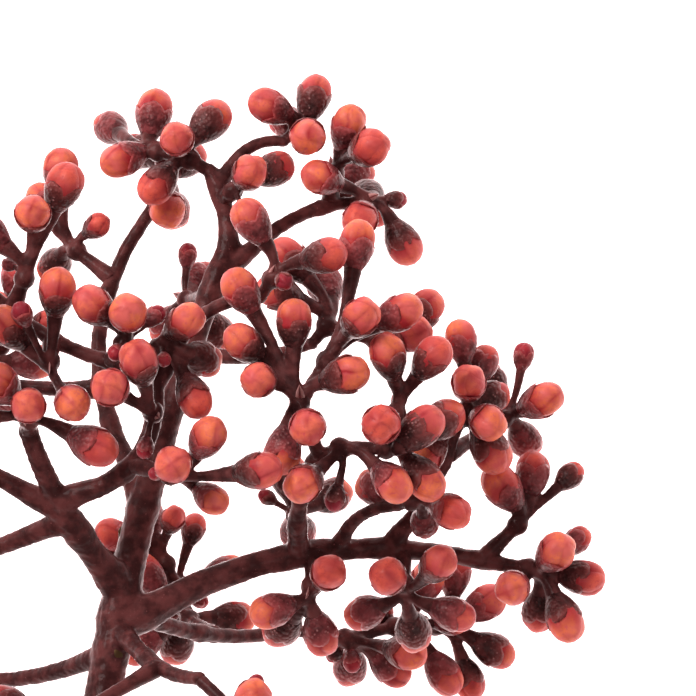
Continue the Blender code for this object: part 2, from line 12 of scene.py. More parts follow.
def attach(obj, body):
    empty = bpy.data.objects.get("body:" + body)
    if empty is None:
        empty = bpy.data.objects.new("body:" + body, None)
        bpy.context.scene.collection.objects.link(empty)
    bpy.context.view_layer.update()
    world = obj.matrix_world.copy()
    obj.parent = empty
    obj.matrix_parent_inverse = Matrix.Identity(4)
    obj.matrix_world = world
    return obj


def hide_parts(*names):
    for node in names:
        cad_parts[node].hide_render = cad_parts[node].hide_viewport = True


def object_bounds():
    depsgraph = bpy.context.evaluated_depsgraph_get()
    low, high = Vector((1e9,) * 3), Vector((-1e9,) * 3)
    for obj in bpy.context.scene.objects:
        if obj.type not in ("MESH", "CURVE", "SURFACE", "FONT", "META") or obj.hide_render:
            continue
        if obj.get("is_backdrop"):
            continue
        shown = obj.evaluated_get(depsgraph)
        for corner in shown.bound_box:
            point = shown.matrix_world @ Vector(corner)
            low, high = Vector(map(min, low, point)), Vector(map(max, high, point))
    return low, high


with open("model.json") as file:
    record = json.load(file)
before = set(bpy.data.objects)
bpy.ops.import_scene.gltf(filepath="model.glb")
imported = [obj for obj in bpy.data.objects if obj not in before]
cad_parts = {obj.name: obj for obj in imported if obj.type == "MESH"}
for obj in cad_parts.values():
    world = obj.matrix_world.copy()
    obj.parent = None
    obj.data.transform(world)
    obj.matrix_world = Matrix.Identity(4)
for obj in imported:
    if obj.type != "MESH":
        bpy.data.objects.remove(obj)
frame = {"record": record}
CAD_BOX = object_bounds()

MM = 0.001

# Clearances
GAP = 0.3
NEIGHBOUR_GAP = 0.12
STEP_ASIDE = 0.5
MOST_STEPS_ASIDE = 9
BALL_SPACING = 0.35
ROOT_STEP = 0.05
ROOT_SIDES = 8

# A ripe bud from the foot of its calyx to the tip of its petals. Its sections: share of length, of width
BUD_WIDTH = 3.75
BUD_LENGTH = 5.0
BUD_PROFILE = (
    (0.04, 0.3), (0.18, 0.66), (0.36, 0.9), (0.52, 1.0), (0.68, 0.98), (0.84, 0.6), (0.95, 0.25),
)
SIZE_SPREAD = 0.06

# The stalk of a bud leaves the fork partly along the stem, and reaches the bud along the bud's own axis
STALK_RADIUS = 0.5
STALK_ALONG_STEM = 0.22
STALK_TO_BUD = 0.12
STALK_ARRIVAL = 0.3
STALK_BALL_PLACES = 7
SHARED_ROOT = 1.6

# Stems of sprays, and the swollen node at each fork
KNOB_RADIUS = 1.05
SPRAY_STEM_RADII = (0.78, 0.64)

# Limbs
LIMB_STATIONS = 7

# The grown sprays on the sides that no view from the front shows
GROWN_FORKS = 3
GROWN_FORK_REACH = 6.2
GROWN_FORK_TILT = math.radians(20)
GROWN_FORK_ROOM = 1.6
GROWN_LEAST_HEIGHT = 3.0
GROWN_BUDS = (4, 3, 4)
GROWN_BUD_REACH = (5.6, 7.6)
GROWN_BUD_SIZES = (1.0, 1.0, 1.0, 0.9, 0.7)
GROWN_SPREAD = math.radians(78)
GROWN_FAN = 6
GROWN_TRIES = 48
GOLDEN_ANGLE = math.pi * (3 - math.sqrt(5))

# The main stem
STEM_FOOT = (8.0, -20.0, 36.0)
STEM_TIP = (22.4, 45.5, 19.5)
STEM_BOW = (-2.8, 0.0, 0.0)
STEM_RADII = (2.3, 1.1)

# Each bough: its parent, how far up the parent it starts, its tip, its bow off the straight, its radii
BOUGHS = {
    "top_bough": ("main_stem", 1.0, (20.4, 53.2, 18.0), (0.5, 0.0, 0.0), (0.95, 0.75)),
    "crest_bough": ("top_bough", 0.8, (28.0, 56.4, 16.5), (-0.4, 1.2, 0.0), (0.7, 0.6)),
    "upper_right_bough": ("main_stem", 0.95, (34.4, 49.9, 16.5), (0.0, 1.2, 0.0), (0.85, 0.65)),
    "left_back_bough": ("main_stem", 0.58, (14.3, 49.8, 11.5), (-4.7, 0.0, -2.0), (1.0, 0.7)),
    "left_front_bough": ("main_stem", 0.455, (2.8, 26.4, 38.0), (-0.7, -0.3, 1.2), (1.5, 0.95)),
    "left_low_bough": ("left_front_bough", 0.45, (-13.0, 27.5, 37.0), (0.0, 0.4, 0.0), (1.0, 0.7)),
    "left_outer_bough": ("left_front_bough", 0.4, (-19.0, 11.5, 28.0), (-1.2, -1.8, -1.0), (1.0, 0.7)),
    "front_mid_bough": ("left_front_bough", 0.52, (15.2, 33.0, 38.8), (3.0, -2.2, 0.8), (1.05, 0.8)),
    "cross_bough": ("front_mid_bough", 0.98, (-3.0, 42.5, 36.5), (-0.6, -2.0, -0.3), (0.8, 0.6)),
    "arch_bough": ("front_mid_bough", 0.9, (26.0, 39.9, 37.0), (-1.0, 1.9, -0.8), (0.75, 0.65)),
    "mid_right_bough": ("main_stem", 0.83, (31.2, 35.3, 30.5), (0.0, -0.9, 0.0), (0.8, 0.62)),
    "right_low_bough": ("main_stem", 0.41, (50.5, 12.6, 25.0), (-1.0, 3.6, -1.0), (1.6, 0.8)),
    "right_front_bough": ("right_low_bough", 0.45, (31.8, 24.2, 37.2), (-0.8, 0.0, 0.0), (0.95, 0.75)),
    "right_inner_bough": ("right_low_bough", 0.55, (39.8, 18.8, 32.0), (-0.8, 0.8, 0.0), (0.7, 0.6)),
    "right_mid_bough": ("right_low_bough", 0.7, (45.5, 25.7, 29.4), (0.6, -0.4, 0.0), (0.85, 0.65)),
    "left_rear_bough": ("left_back_bough", 0.3, (-13.0, 34.0, 15.0), (0.0, -1.0, -1.0), (0.8, 0.62)),
    "low_left_bough": ("main_stem", 0.36, (-9.0, 1.0, 18.0), (0.0, -1.5, -1.0), (0.95, 0.7)),
    "low_front_bough": ("main_stem", 0.4, (20.0, 2.0, 43.0), (0.0, -1.0, 1.0), (0.95, 0.7)),
    "low_rear_bough": ("main_stem", 0.43, (29.0, 5.0, 11.0), (0.0, -1.5, -1.5), (0.95, 0.7)),
}


def bud(across, along, high, lean=0.0, size=1.0):
    """One bud: the middle of it, how far it leans to the front, and its size beside a ripe one."""
    return {"middle": np.array((across, along, high), float), "lean": lean, "size": size}


# Each spray of the side that shows: its limb, how far up the limb it stands, its forks with their buds
SHOWN_SPRAYS = {
    "left_high_spray": ("cross_bough", 0.74, [((2.4, 41.8, 38.6), [
        bud(3.5, 48.1, 42.5, 2.0), bud(6.4, 51.0, 39.5, 0.3), bud(-1.6, 46.6, 39.0),
    ])]),
    "left_mid_spray": ("cross_bough", 0.5, [((5.0, 33.4, 39.4), [
        bud(5.9, 40.5, 42.0, 0.3), bud(0.9, 36.9, 41.0, 0.3), bud(2.5, 38.2, 43.0, 0.3, 0.55),
        bud(7.5, 29.4, 44.5, 1.2),
    ])]),
    "centre_left_spray": ("cross_bough", 0.17, [((12.4, 35.2, 40.4), [
        bud(9.6, 39.0, 42.3, 0.3), bud(13.1, 38.2, 43.8, 0.4), bud(15.5, 38.0, 40.5, 0.0, 0.5),
    ])]),
    "centre_spray": ("front_mid_bough", 1.0, [((15.9, 34.8, 40.0), [
        bud(18.6, 37.4, 42.3, 0.2), bud(20.2, 33.7, 38.9, -0.9), bud(19.5, 29.9, 42.0, 0.3),
    ])]),
    "front_mid_spray": ("front_mid_bough", 0.78, [((15.4, 28.4, 42.0), [
        bud(14.2, 33.4, 46.5, 0.4), bud(11.5, 30.9, 48.0, 2.0),
    ])]),
    "left_low_front_spray": ("left_front_bough", 1.0, [((3.0, 27.6, 40.5), [
        bud(3.3, 29.1, 46.0, 3.0), bud(9.6, 25.1, 43.0, 0.2), bud(0.2, 31.3, 43.5, 0.5),
        bud(-3.8, 27.5, 43.0, 0.3),
    ])]),
    "front_low_spray": ("front_mid_bough", 0.4, [((17.2, 22.2, 41.5), [
        bud(17.6, 23.3, 47.0, 3.0), bud(20.9, 26.0, 43.0, 0.3), bud(21.2, 19.8, 41.5, 0.8, 0.85),
        bud(26.0, 22.7, 45.5, 0.2),
    ])]),
    "fork_front_spray": ("right_front_bough", 1.0, [
        ((30.0, 29.3, 39.3), [
            bud(24.4, 35.3, 41.5, 0.3), bud(29.4, 37.4, 40.0), bud(24.1, 40.6, 40.3, 0.2),
            bud(26.0, 31.6, 43.5, 1.5), bud(30.8, 27.0, 43.8, 2.5), bud(28.3, 24.5, 40.0),
            bud(34.6, 32.1, 41.5, 0.3),
        ]),
        ((32.6, 33.4, 38.5), [
            bud(36.0, 37.8, 42.0, 0.2), bud(35.7, 45.3, 36.5), bud(40.0, 38.3, 38.0, 0.2),
        ]),
    ]),
    "right_front_spray": ("right_front_bough", 0.9, [
        ((34.0, 24.8, 38.8), [
            bud(30.4, 21.4, 43.8, 0.8), bud(33.5, 19.8, 40.5, 0.0, 0.55), bud(39.2, 21.4, 42.0, 0.3),
        ]),
        ((38.6, 24.8, 39.2), [
            bud(38.1, 27.2, 44.0, 2.5), bud(42.1, 26.9, 41.5, -0.7), bud(44.4, 27.6, 36.0),
            bud(42.4, 21.7, 41.5, 0.2),
        ]),
        ((39.6, 28.2, 38.2), [bud(38.8, 34.1, 38.5), bud(43.2, 33.9, 39.5, 0.1)]),
    ]),
    "arch_top_spray": ("arch_bough", 1.0, [((27.2, 41.8, 37.7), [
        bud(25.1, 47.6, 38.5, 0.1), bud(32.5, 44.0, 38.5, 0.1),
    ])]),
    "mid_right_spray": ("mid_right_bough", 1.0, [
        ((32.6, 37.0, 30.0), [bud(28.9, 43.9, 29.0), bud(27.7, 40.4, 31.0), bud(32.4, 41.3, 27.0)]),
        ((37.6, 35.6, 29.5), [bud(41.2, 36.2, 32.0), bud(42.4, 38.6, 27.5)]),
    ]),
    "right_mid_spray": ("right_mid_bough", 1.0, [((46.4, 27.8, 30.0), [
        bud(46.3, 35.6, 30.0, 0.0, 0.85), bud(48.7, 33.3, 28.0, 0.0, 0.85), bud(47.0, 31.2, 34.0, 0.3),
        bud(49.5, 29.8, 30.5, 0.0, 0.85), bud(48.9, 27.3, 33.8, 0.3), bud(49.3, 24.4, 31.0),
        bud(42.8, 24.2, 34.0),
    ])]),
    "right_far_spray": ("right_mid_bough", 0.84, [((50.8, 27.4, 22.0), [
        bud(53.0, 34.0, 20.5, 0.0, 0.6), bud(54.8, 29.4, 23.5), bud(53.2, 25.2, 18.5, 0.0, 0.9),
        bud(49.5, 31.5, 18.0),
    ])]),
    "right_low_spray": ("right_low_bough", 0.95, [((52.2, 16.6, 25.2), [
        bud(53.8, 21.9, 24.0), bud(57.7, 21.6, 23.0, 0.0, 0.7), bud(50.6, 20.6, 28.5),
    ])]),
    "right_end_spray": ("right_low_bough", 1.0, [((53.2, 12.2, 25.0), [
        bud(56.0, 13.9, 28.0), bud(58.4, 14.9, 22.5, 0.0, 0.75), bud(58.9, 11.2, 25.0),
        bud(51.6, 10.4, 29.5, 1.0), bud(54.5, 7.5, 22.0), bud(57.0, 7.0, 26.5),
    ])]),
    "right_inner_spray": ("right_inner_bough", 1.0, [((41.2, 19.4, 33.6), [
        bud(45.1, 18.4, 37.0, 0.2), bud(37.7, 20.6, 30.0), bud(42.6, 17.0, 29.0, 0.0, 0.8),
    ])]),
    "low_right_spray": ("right_low_bough", 0.74, [((40.6, 10.6, 27.5), [
        bud(43.9, 12.9, 32.0, 0.2), bud(38.9, 11.6, 32.5, 0.6), bud(36.5, 7.6, 25.0),
        bud(41.5, 5.6, 24.0), bud(45.6, 7.6, 28.0),
    ])]),
    "low_middle_spray": ("right_low_bough", 0.5, [((31.0, 10.4, 27.5), [
        bud(32.8, 12.0, 32.5, 0.5), bud(27.0, 8.0, 29.0), bud(32.0, 5.4, 26.0), bud(28.0, 6.0, 23.0),
    ])]),
    "inner_back_spray": ("right_front_bough", 0.3, [((29.4, 17.6, 24.0), [
        bud(28.6, 21.6, 20.5), bud(33.2, 19.4, 18.0), bud(29.6, 15.6, 17.5),
    ])]),
    "top_left_spray": ("top_bough", 1.0, [
        ((18.4, 54.4, 17.6), [bud(17.1, 56.4, 21.0, 0.6), bud(15.0, 51.8, 19.0), bud(20.4, 58.6, 15.5)]),
        ((14.8, 55.4, 15.6), [bud(11.2, 54.5, 16.5), bud(9.6, 58.2, 10.5), bud(14.4, 59.6, 13.5)]),
    ]),
    "top_middle_spray": ("top_bough", 0.62, [((22.8, 51.0, 20.6), [
        bud(24.6, 52.8, 24.0, 0.3), bud(27.1, 53.4, 18.6),
    ])]),
    "crest_spray": ("crest_bough", 1.0, [((29.6, 57.6, 16.0), [
        bud(30.6, 56.8, 20.0, 0.4), bud(26.6, 60.0, 17.5), bud(31.2, 61.2, 15.0), bud(28.4, 58.6, 11.5),
    ])]),
    "upper_right_spray": ("upper_right_bough", 1.0, [((36.6, 50.2, 17.0), [
        bud(32.0, 52.5, 20.0, 0.3), bud(36.1, 48.2, 20.5, 0.5), bud(36.9, 50.8, 12.5),
        bud(39.8, 50.3, 16.0, 0.0, 0.5), bud(40.6, 45.7, 17.0),
    ])]),
    "upper_far_spray": ("upper_right_bough", 0.85, [
        ((33.4, 53.0, 15.0), [bud(34.8, 58.0, 16.0), bud(37.0, 55.6, 17.5)]),
        ((33.0, 51.6, 8.0), [bud(35.6, 53.4, 2.3), bud(37.0, 49.6, 5.5)]),
    ]),
    "back_left_spray": ("left_back_bough", 0.72, [((6.2, 45.0, 11.5), [
        bud(4.6, 53.4, 13.0), bud(2.6, 50.1, 10.0), bud(3.6, 43.6, 7.0), bud(8.4, 47.6, 14.0, 0.0, 0.65),
    ])]),
    "back_top_spray": ("left_back_bough", 1.0, [((15.3, 51.8, 10.8), [
        bud(15.9, 49.4, 15.5, 0.4), bud(12.6, 55.8, 8.5), bud(17.8, 54.8, 8.0), bud(16.0, 49.6, 2.2),
    ])]),
    "back_sprig_spray": ("main_stem", 0.92, [((17.9, 39.8, 14.0), [
        bud(17.9, 44.6, 12.5, 0.0, 0.5), bud(15.6, 37.2, 10.0), bud(20.6, 36.6, 8.0),
        bud(19.0, 42.0, 7.0),
    ])]),
}

# Each grown spray: its limb, how far up the limb it stands, its first fork, the seed of its rule
GROWN_SPRAYS = {
    "cross_end_spray": ("cross_bough", 1.0, (-8.0, 45.0, 36.0), 3),
    "left_low_end_spray": ("left_low_bough", 1.0, (-18.5, 28.5, 38.0), 5),
    "left_low_side_spray": ("left_low_bough", 0.6, (-8.0, 31.0, 42.0), 8),
    "left_outer_end_spray": ("left_outer_bough", 1.0, (-25.0, 12.0, 28.0), 13),
    "left_outer_front_spray": ("left_outer_bough", 0.55, (-10.0, 12.0, 38.0), 21),
    "left_outer_back_spray": ("left_outer_bough", 0.7, (-14.0, 18.0, 21.0), 34),
    "left_rear_end_spray": ("left_rear_bough", 1.0, (-18.5, 37.5, 15.0), 55),
    "left_rear_side_spray": ("left_rear_bough", 0.6, (-4.0, 33.0, 8.5), 89),
    "low_left_spray": ("low_left_bough", 1.0, (-13.5, -1.0, 15.0), 144),
    "low_front_spray": ("low_front_bough", 1.0, (23.5, -1.0, 45.5), 233),
    "low_front_side_spray": ("low_front_bough", 0.45, (7.0, -2.0, 44.5), 377),
    "low_rear_spray": ("low_rear_bough", 1.0, (34.5, 4.0, 8.5), 610),
    "low_rear_side_spray": ("low_rear_bough", 0.5, (18.0, 6.0, 8.5), 987),
}


def unit(vector):
    return vector / max(np.linalg.norm(vector), 1e-9)


def across_from(heading):
    """Two unit vectors square to a heading and to each other."""
    side = unit(np.cross(heading, (0.0, 0.0, 1.0) if abs(heading[2]) < 0.9 else (1.0, 0.0, 0.0)))
    return side, np.cross(heading, side)


def bowed(start, end, bow, count):
    """Points on the arc from start to end whose middle lies off the straight line by bow."""
    start, end, bow = (np.array(place, float) for place in (start, end, bow))
    along = np.linspace(0, 1, count)[:, None]
    return start + (end - start) * along + 4 * along * (1 - along) * bow


def swept(start, leave, arrive, end, count):
    """Points on the curve that leaves start towards leave and reaches end from arrive."""
    t = np.linspace(0, 1, count)[:, None]
    rest = 1 - t
    return rest**3 * start + 3 * t * rest**2 * leave + 3 * t**2 * rest * arrive + t**3 * end


def balls_along(path, radii):
    """Balls strung along a path closely enough to stand for its tube in a test of clearance."""
    rows = []
    points = np.column_stack((path, radii))
    for first, last in zip(points[:-1], points[1:]):
        steps = max(2, math.ceil(np.linalg.norm(last - first) / BALL_SPACING))
        for share in np.linspace(0, 1, steps, endpoint=False):
            rows.append(first + (last - first) * share)
    rows.append(points[-1])
    return np.array(rows)


def room_between(balls, others):
    """The least gap between two sets of balls."""
    if not len(balls) or not len(others):
        return math.inf
    apart = np.linalg.norm(balls[:, None, :3] - others[None, :, :3], axis=2)
    return float((apart - balls[:, None, 3] - others[None, :, 3]).min())


class Limb:
    """One tapering limb: its path from root to tip and the radius at each point of it."""

    def __init__(self, name, path, radii):
        self.name = name
        self.path = path
        self.radii = np.linspace(*radii, len(path))
        self.balls = balls_along(path, self.radii)
        blunt = path.copy()
        blunt[-1] -= unit(path[-1] - path[-2]) * self.radii[-1]
        self.blunt_balls = balls_along(blunt, self.radii)

    def at(self, share):
        place = share * (len(self.path) - 1)
        first = min(int(place), len(self.path) - 2)
        rest = place - first
        return self.path[first] * (1 - rest) + self.path[first + 1] * rest

    def root_towards(self, share, place, radius):
        """Where something that grows from here towards a place starts, GAP clear of this limb."""
        root = self.at(share)
        heading = unit(np.array(place, float) - root)
        side, other = across_from(heading)
        angles = np.linspace(0, math.tau, ROOT_SIDES, endpoint=False)[:, None]
        rim = (side * np.cos(angles) + other * np.sin(angles)) * radius
        face = np.column_stack((np.vstack((root, root + rim)), np.zeros(ROOT_SIDES + 1)))
        while room_between(face, self.blunt_balls) < GAP:
            face[:, :3] += heading * ROOT_STEP
        return face[0, :3]


def grow_limbs():
    stem_path = bowed(STEM_FOOT, STEM_TIP, STEM_BOW, LIMB_STATIONS + 1)
    limbs = {"main_stem": Limb("main_stem", stem_path, STEM_RADII)}
    for name, (parent, share, tip, bow, radii) in BOUGHS.items():
        middle_of_arc = np.array(tip) + 2 * np.array(bow)
        root = limbs[parent].root_towards(share, middle_of_arc, radii[0])
        limbs[name] = Limb(name, bowed(root, tip, bow, LIMB_STATIONS), radii)
    return limbs


class Bud:
    """One bud on its stalk, which leaves the fork along its stem and bends round to the bud."""

    def __init__(self, fork, heading, spec, scale=1.0):
        self.size = spec["size"] * scale
        self.length = BUD_LENGTH * self.size
        self.radius = BUD_WIDTH * self.size / 2
        away = spec["middle"] - fork
        reach = np.linalg.norm(away)
        leave = fork + heading * STALK_ALONG_STEM * reach + away * STALK_TO_BUD
        self.axis = unit(unit(spec["middle"] - leave) + np.array((0.0, 0.0, spec["lean"])))
        shares, widths = np.array(BUD_PROFILE).T
        radii = widths * self.radius
        places = spec["middle"] + np.outer((shares - 0.5) * self.length, self.axis)
        lift = np.array((0.0, 0.0, max(0.0, (radii - places[:, 2]).max())))
        self.middle = spec["middle"] + lift
        self.balls = np.column_stack((places + lift, radii))
        self.foot = self.middle - self.axis * self.length / 2
        arrive = self.foot - self.axis * STALK_ARRIVAL * reach
        self.stalk = swept(fork, leave, arrive, self.foot, 2 * STALK_BALL_PLACES - 1)
        self.stalk_balls = balls_along(self.stalk[::2], np.full(STALK_BALL_PLACES, STALK_RADIUS))


class Spray:
    """One spray: stems from a limb through its forks, and the buds that stand on each fork."""

    def __init__(self, name, root, forks):
        self.name = name
        self.stems = []
        self.buds = []
        start = root
        for place in forks:
            self.stems.append(np.array((start, place)))
            start = place
        self.stem_balls = np.concatenate([balls_along(path, SPRAY_STEM_RADII) for path in self.stems])

    def heading(self, index):
        start, end = self.stems[index]
        return unit(end - start)

    def all_balls(self):
        parts = [self.stem_balls]
        for shown in self.buds:
            parts += [shown.balls, shown.stalk_balls]
        return np.concatenate(parts)

    def takes(self, new, taken, fork):
        """Whether a bud is clear of everything else and of the spray's other buds."""
        if room_between(np.concatenate((new.balls, new.stalk_balls)), taken) < GAP:
            return False
        rooms = [room_between(new.balls, self.stem_balls)]
        for other in self.buds:
            rooms.append(room_between(new.balls, other.balls))
            rooms.append(room_between(new.balls, beyond(other.stalk_balls, fork)))
            rooms.append(room_between(beyond(new.stalk_balls, fork), other.balls))
        return min(rooms) >= NEIGHBOUR_GAP


def beyond(balls, fork):
    """The balls that lie outside the root which the stalks of a fork share."""
    return balls[np.linalg.norm(balls[:, :3] - fork, axis=1) > SHARED_ROOT]


def steps_aside():
    """The listed height first, then heights ever further from it on both sides."""
    yield 0.0
    for count in range(1, MOST_STEPS_ASIDE + 1):
        yield count * STEP_ASIDE
        yield -count * STEP_ASIDE


def grow_shown(name, limbs, taken, dice):
    """A spray of the side that shows. A bud that would touch a neighbour moves up or down."""
    parent, share, forks = SHOWN_SPRAYS[name]
    places = [np.array(place, float) for place, _ in forks]
    root = limbs[parent].root_towards(share, places[0], SPRAY_STEM_RADII[0])
    spray = Spray(name, root, places)
    for index, (_, specs) in enumerate(forks):
        for spec in specs:
            scale = 1 + dice.uniform(-SIZE_SPREAD, SIZE_SPREAD)
            for aside in steps_aside():
                moved = dict(spec, middle=spec["middle"] + np.array((0.0, 0.0, aside)))
                new = Bud(places[index], spray.heading(index), moved, scale)
                if spray.takes(new, taken, places[index]):
                    spray.buds.append(new)
                    break
    return spray


def tilted(heading, tilt, angle):
    """The direction that stands off a heading by a tilt, turned round the heading by an angle."""
    side, other = across_from(heading)
    outwards = side * math.cos(angle) + other * math.sin(angle)
    return unit(heading * math.cos(tilt) + outwards * math.sin(tilt))


def grow_forks(first, heading, taken, dice):
    """Forks one after another: each goes nearly straight on, or turns further where another solid is."""
    forks = [first]
    while len(forks) < GROWN_FORKS:
        for attempt in range(GROWN_TRIES):
            tilt = GROWN_FORK_TILT + (GROWN_SPREAD - GROWN_FORK_TILT) * attempt / GROWN_TRIES
            place = forks[-1] + tilted(heading, tilt, dice.uniform(0, math.tau)) * GROWN_FORK_REACH
            place[2] = max(place[2], GROWN_LEAST_HEIGHT)
            stem = balls_along(np.array((forks[-1], place)), np.full(2, GROWN_FORK_ROOM))
            if room_between(stem, taken) > GAP:
                forks.append(place)
                break
        else:
            break
    return forks


def grow_hidden(name, limbs, taken):
    """A spray grown by rule: a few buds fan out from each fork, and none where another solid is."""
    parent, share, first, seed = GROWN_SPRAYS[name]
    dice = random.Random(seed)
    first = np.array(first)
    root = limbs[parent].root_towards(share, first, SPRAY_STEM_RADII[0])
    forks = grow_forks(first, unit(first - root), taken, dice)
    spray = Spray(name, root, forks)
    for index, (place, wanted) in enumerate(zip(forks, GROWN_BUDS)):
        turn = dice.uniform(0, math.tau)
        grown = 0
        for attempt in range(GROWN_TRIES):
            if grown == wanted:
                break
            tilt = GROWN_SPREAD * math.sqrt((attempt % GROWN_FAN + 0.5) / GROWN_FAN)
            ahead = tilted(spray.heading(index), tilt, turn + attempt * GOLDEN_ANGLE)
            middle = place + ahead * dice.uniform(*GROWN_BUD_REACH)
            new = Bud(place, spray.heading(index), bud(*middle, size=dice.choice(GROWN_BUD_SIZES)))
            if spray.takes(new, taken, place):
                spray.buds.append(new)
                grown += 1
    return spray


def grow_sprays(limbs):
    taken = np.concatenate([limb.balls for limb in limbs.values()])
    dice = random.Random(11)
    sprays = []
    for name in SHOWN_SPRAYS:
        sprays.append(grow_shown(name, limbs, taken, dice))
        taken = np.concatenate((taken, sprays[-1].all_balls()))
    for name in GROWN_SPRAYS:
        sprays.append(grow_hidden(name, limbs, taken))
        taken = np.concatenate((taken, sprays[-1].all_balls()))
    return sprays


# The picture, in millimetres: the photo's frame lies flat at the height of its focus
FOCUS_HEIGHT = 39.0
CAMERA_DISTANCE = 500.0
PICTURE_WIDTH = 69.6

# The studio, in metres. Each light faces the frame's origin: its place, its width, its watts
CLIP = (0.01, 10)
FLOOR_SIZE = 6.0
FLOOR_HEIGHT = -0.0004
SKY_STRENGTHS = (0.55, 0.15)
SKY_FADE = (0.1, 0.7)
LIGHTS = {
    "key": ((-0.85, 0.9, 1.1), 0.8, 29),
    "front": ((0.1, -0.1, 1.6), 0.8, 5),
    "fill": ((0.9, -0.8, 0.9), 0.9, 3),
}

# Waves, which every lump and bump is made of. Each lists its depth and then its length
WAVE_COUNT = 7
WAVE_SPREAD = (0.7, 1.4)
WAVE_PEAK = 1.6

# Limbs and twigs, in millimetres. Each of their bumps ends with its seed
LIMB_STEP = 0.4
BEND_ROUNDS = 4
FLARE = 0.3
FLARE_LENGTH = 1.6
NODE_SWELL = 0.2
NODE_LENGTH = 1.1
WOOD_SIDES = 16
TWIG_SIDES = 12
RIDGES = 5
RIDGE_DEPTH = 0.035
RIDGE_TURN = 0.12
LIMB_VOXEL = 0.21
LIMB_BUMPS = ((0.04, 0.9, 1), (0.02, 0.4, 2))
TWIG_VOXELS = {"shown_twigs": 0.215, "hidden_twigs": 0.25}
TWIG_BUMPS = ((0.03, 0.7, 3),)
SMOOTHING = (0.5, 3)
KNOB_SHARE = 1.1
KNOB_RINGS = 9
KNOB_LUMPS = (0.1, 1.1)
KNOB_SEEDS = 7
STEM_PLACES = 9
SCAR_RADIUS = 0.9
SCAR_PRESSED = 0.65
SCAR_SUNK = 0.93
SCAR_HIGHEST = 0.8
SCAR_PROBE = 0.02

# Visible stalks, which swell into the foot of the bud
STALK_SHAPE = ((0.0, 1.5), (0.15, 1.2), (0.4, 1.04), (0.7, 1.04), (1.0, 1.1))
SLIMMEST_STALK = 0.35
STALK_CLUB = 0.4
CLUB_CURVE = 1.4
STALK_IN_BUD = 0.1

# Visible buds: shares of a bud's length and width, or millimetres
BUD_SHAPE = (
    (-0.05, 0.44), (0.0, 0.5), (0.08, 0.61), (0.16, 0.72), (0.24, 0.82), (0.34, 0.91), (0.45, 0.97),
    (0.55, 1.0), (0.65, 0.985), (0.75, 0.92), (0.84, 0.79), (0.91, 0.61), (0.96, 0.41), (1.0, 0.0),
)
BUD_SEED = 5
PETALS = 4
QUARTER = math.pi / 2
QUARTER_ANGLES = (-45.0, -42.0, -34.0, -18.0, 0.0, 18.0, 34.0, 42.0)
PETAL_BULGE = 0.035
UNBULGED = 0.7
PETAL_BULGE_SHAPE = ((0.3, 0.2), (0.7, 1.0), (0.9, 1.6), (1.0, 2.2))
PETAL_LUMPS = (0.015, 1.5)
COROLLA_START = 0.36
COROLLA_RINGS = 13
SLIM_PETALS = (0.94, 1.0)
SQUARENESS = 0.045
SEAM_DEPTH = 0.04
SEAM_WIDTH = 0.09
SEAM_TWIST = 0.5
TWIST_SHAPE = ((0.7, 0.0), (1.0, 1.0))
CALYX_RINGS = 10
CALYX_START = -0.05
CALYX_RIMS = (0.42, 0.52)
CALYX_LOBE = 0.15
LOBE_HEIGHTS = (0.75, 1.2)
LOBE_CURVE = 0.7
UNRIPE_RIM = 0.2
RIM_LUMPS = (0.018, 0.6)
RIM_SHIFT = 0.37
LIP_CURVE = 6
LIP_DEPTH = 0.05
LIP_INSET = 0.12
CALYX_POLE = 0.3
CALYX_THICK = 0.06
CALYX_THICKENS = ((0.025, 0.1), (0.25, 1.0))
CALYX_WARTS = (0.05, 0.6)
WARTS_FADE = ((0.0, 0.0), (1 / 3, 1.0))

# Where petals and calyces take their last colour. Blush and streaks are waves too
SEAM_SHADES = (0.1, 0.45)
SEAM_SHADE_WIDTH = 0.24
FOOT_SHADE = ((0.48, 0.85), (0.78, 0.0))
BLUSH = (0.45, 2.0)
STREAKS = (0.3, 0.9)
STREAK_STRETCH = 0.8
RIM_SHADE_CURVE = 4

# Bracts and tiny unripe buds, which look for room as far as their search
AT_SOME_FORKS = (0, 0, 1)
BRACT_SEED = 41
BRACT_SEARCH = 7
BRACT_GAP = 0.05
BRACT_ROOM = 0.25
BRACT_STATIONS = 4
BRACT_TILTS = (0.3, 0.7)
BRACT_LENGTHS = (2.0, 3.2)
BRACT_PLACES = 8
BRACT_SHAPE = ((0.0, 0.6), (0.35, 1.0), (0.7, 0.75), (1.0, 0.06))
BRACT_WIDTH = 0.5
BRACT_FLATNESS = 0.25
BRACT_SIDES = 10
BRACT_BOW = -0.15
BRACT_EDGE_CURVE = 4
FINE_SEED = 29
FINE_ON_GROWN = 2
FINE_SEARCH = 9
FINE_GAP = 0.08
FINE_TILTS = (0.4, 1.7)
FINE_BUD_REACH = (2.6, 3.8)
FINE_BUD_SIZES = (0.34, 0.5)
FINE_TRIES = 8

# Patterns: lumps in a millimetre, detail, and where in the noise the second colour starts and is full
PETAL_MOTTLE = (0.55, 2.0, 0.38, 0.64)
PETAL_FLECKS = (3.0, 3.0, 0.5, 0.72)
SKIN_MOTTLE = (0.6, 3.0, 0.38, 0.66)
SKIN_SPECKS = (4.5, 2.0, 0.68, 0.78)
CALYX_MOTTLE = (0.8, 3.0, 0.38, 0.66)
# Where on a calyx the pale painted glints, which are painted highlights, show
CALYX_PAINTED_GLINTS = (0.9, 3.0, 0.5, 0.62)
WARTS_IN_MM = 2.3
WART_SOFTNESS = 0.3
# Wart tops painted towards the lighter colour of the calyx, a painted highlight
PAINTED_LIGHT_WART_TOPS = (0.35, 0.1)
# The middles of warts that take the pale painted glint, a painted highlight
PAINTED_GLINT_TOPS = (0.36, 0.1)

# Grain: lumps in a millimetre, detail, depth in millimetres, strength. Warts: depth, strength
PETAL_GRAIN = (2.4, 4.0, 0.1, 0.7)
SKIN_GRAIN = (4.0, 3.0, 0.06, 0.8)
WART_BUMPS = (0.17, 0.9)

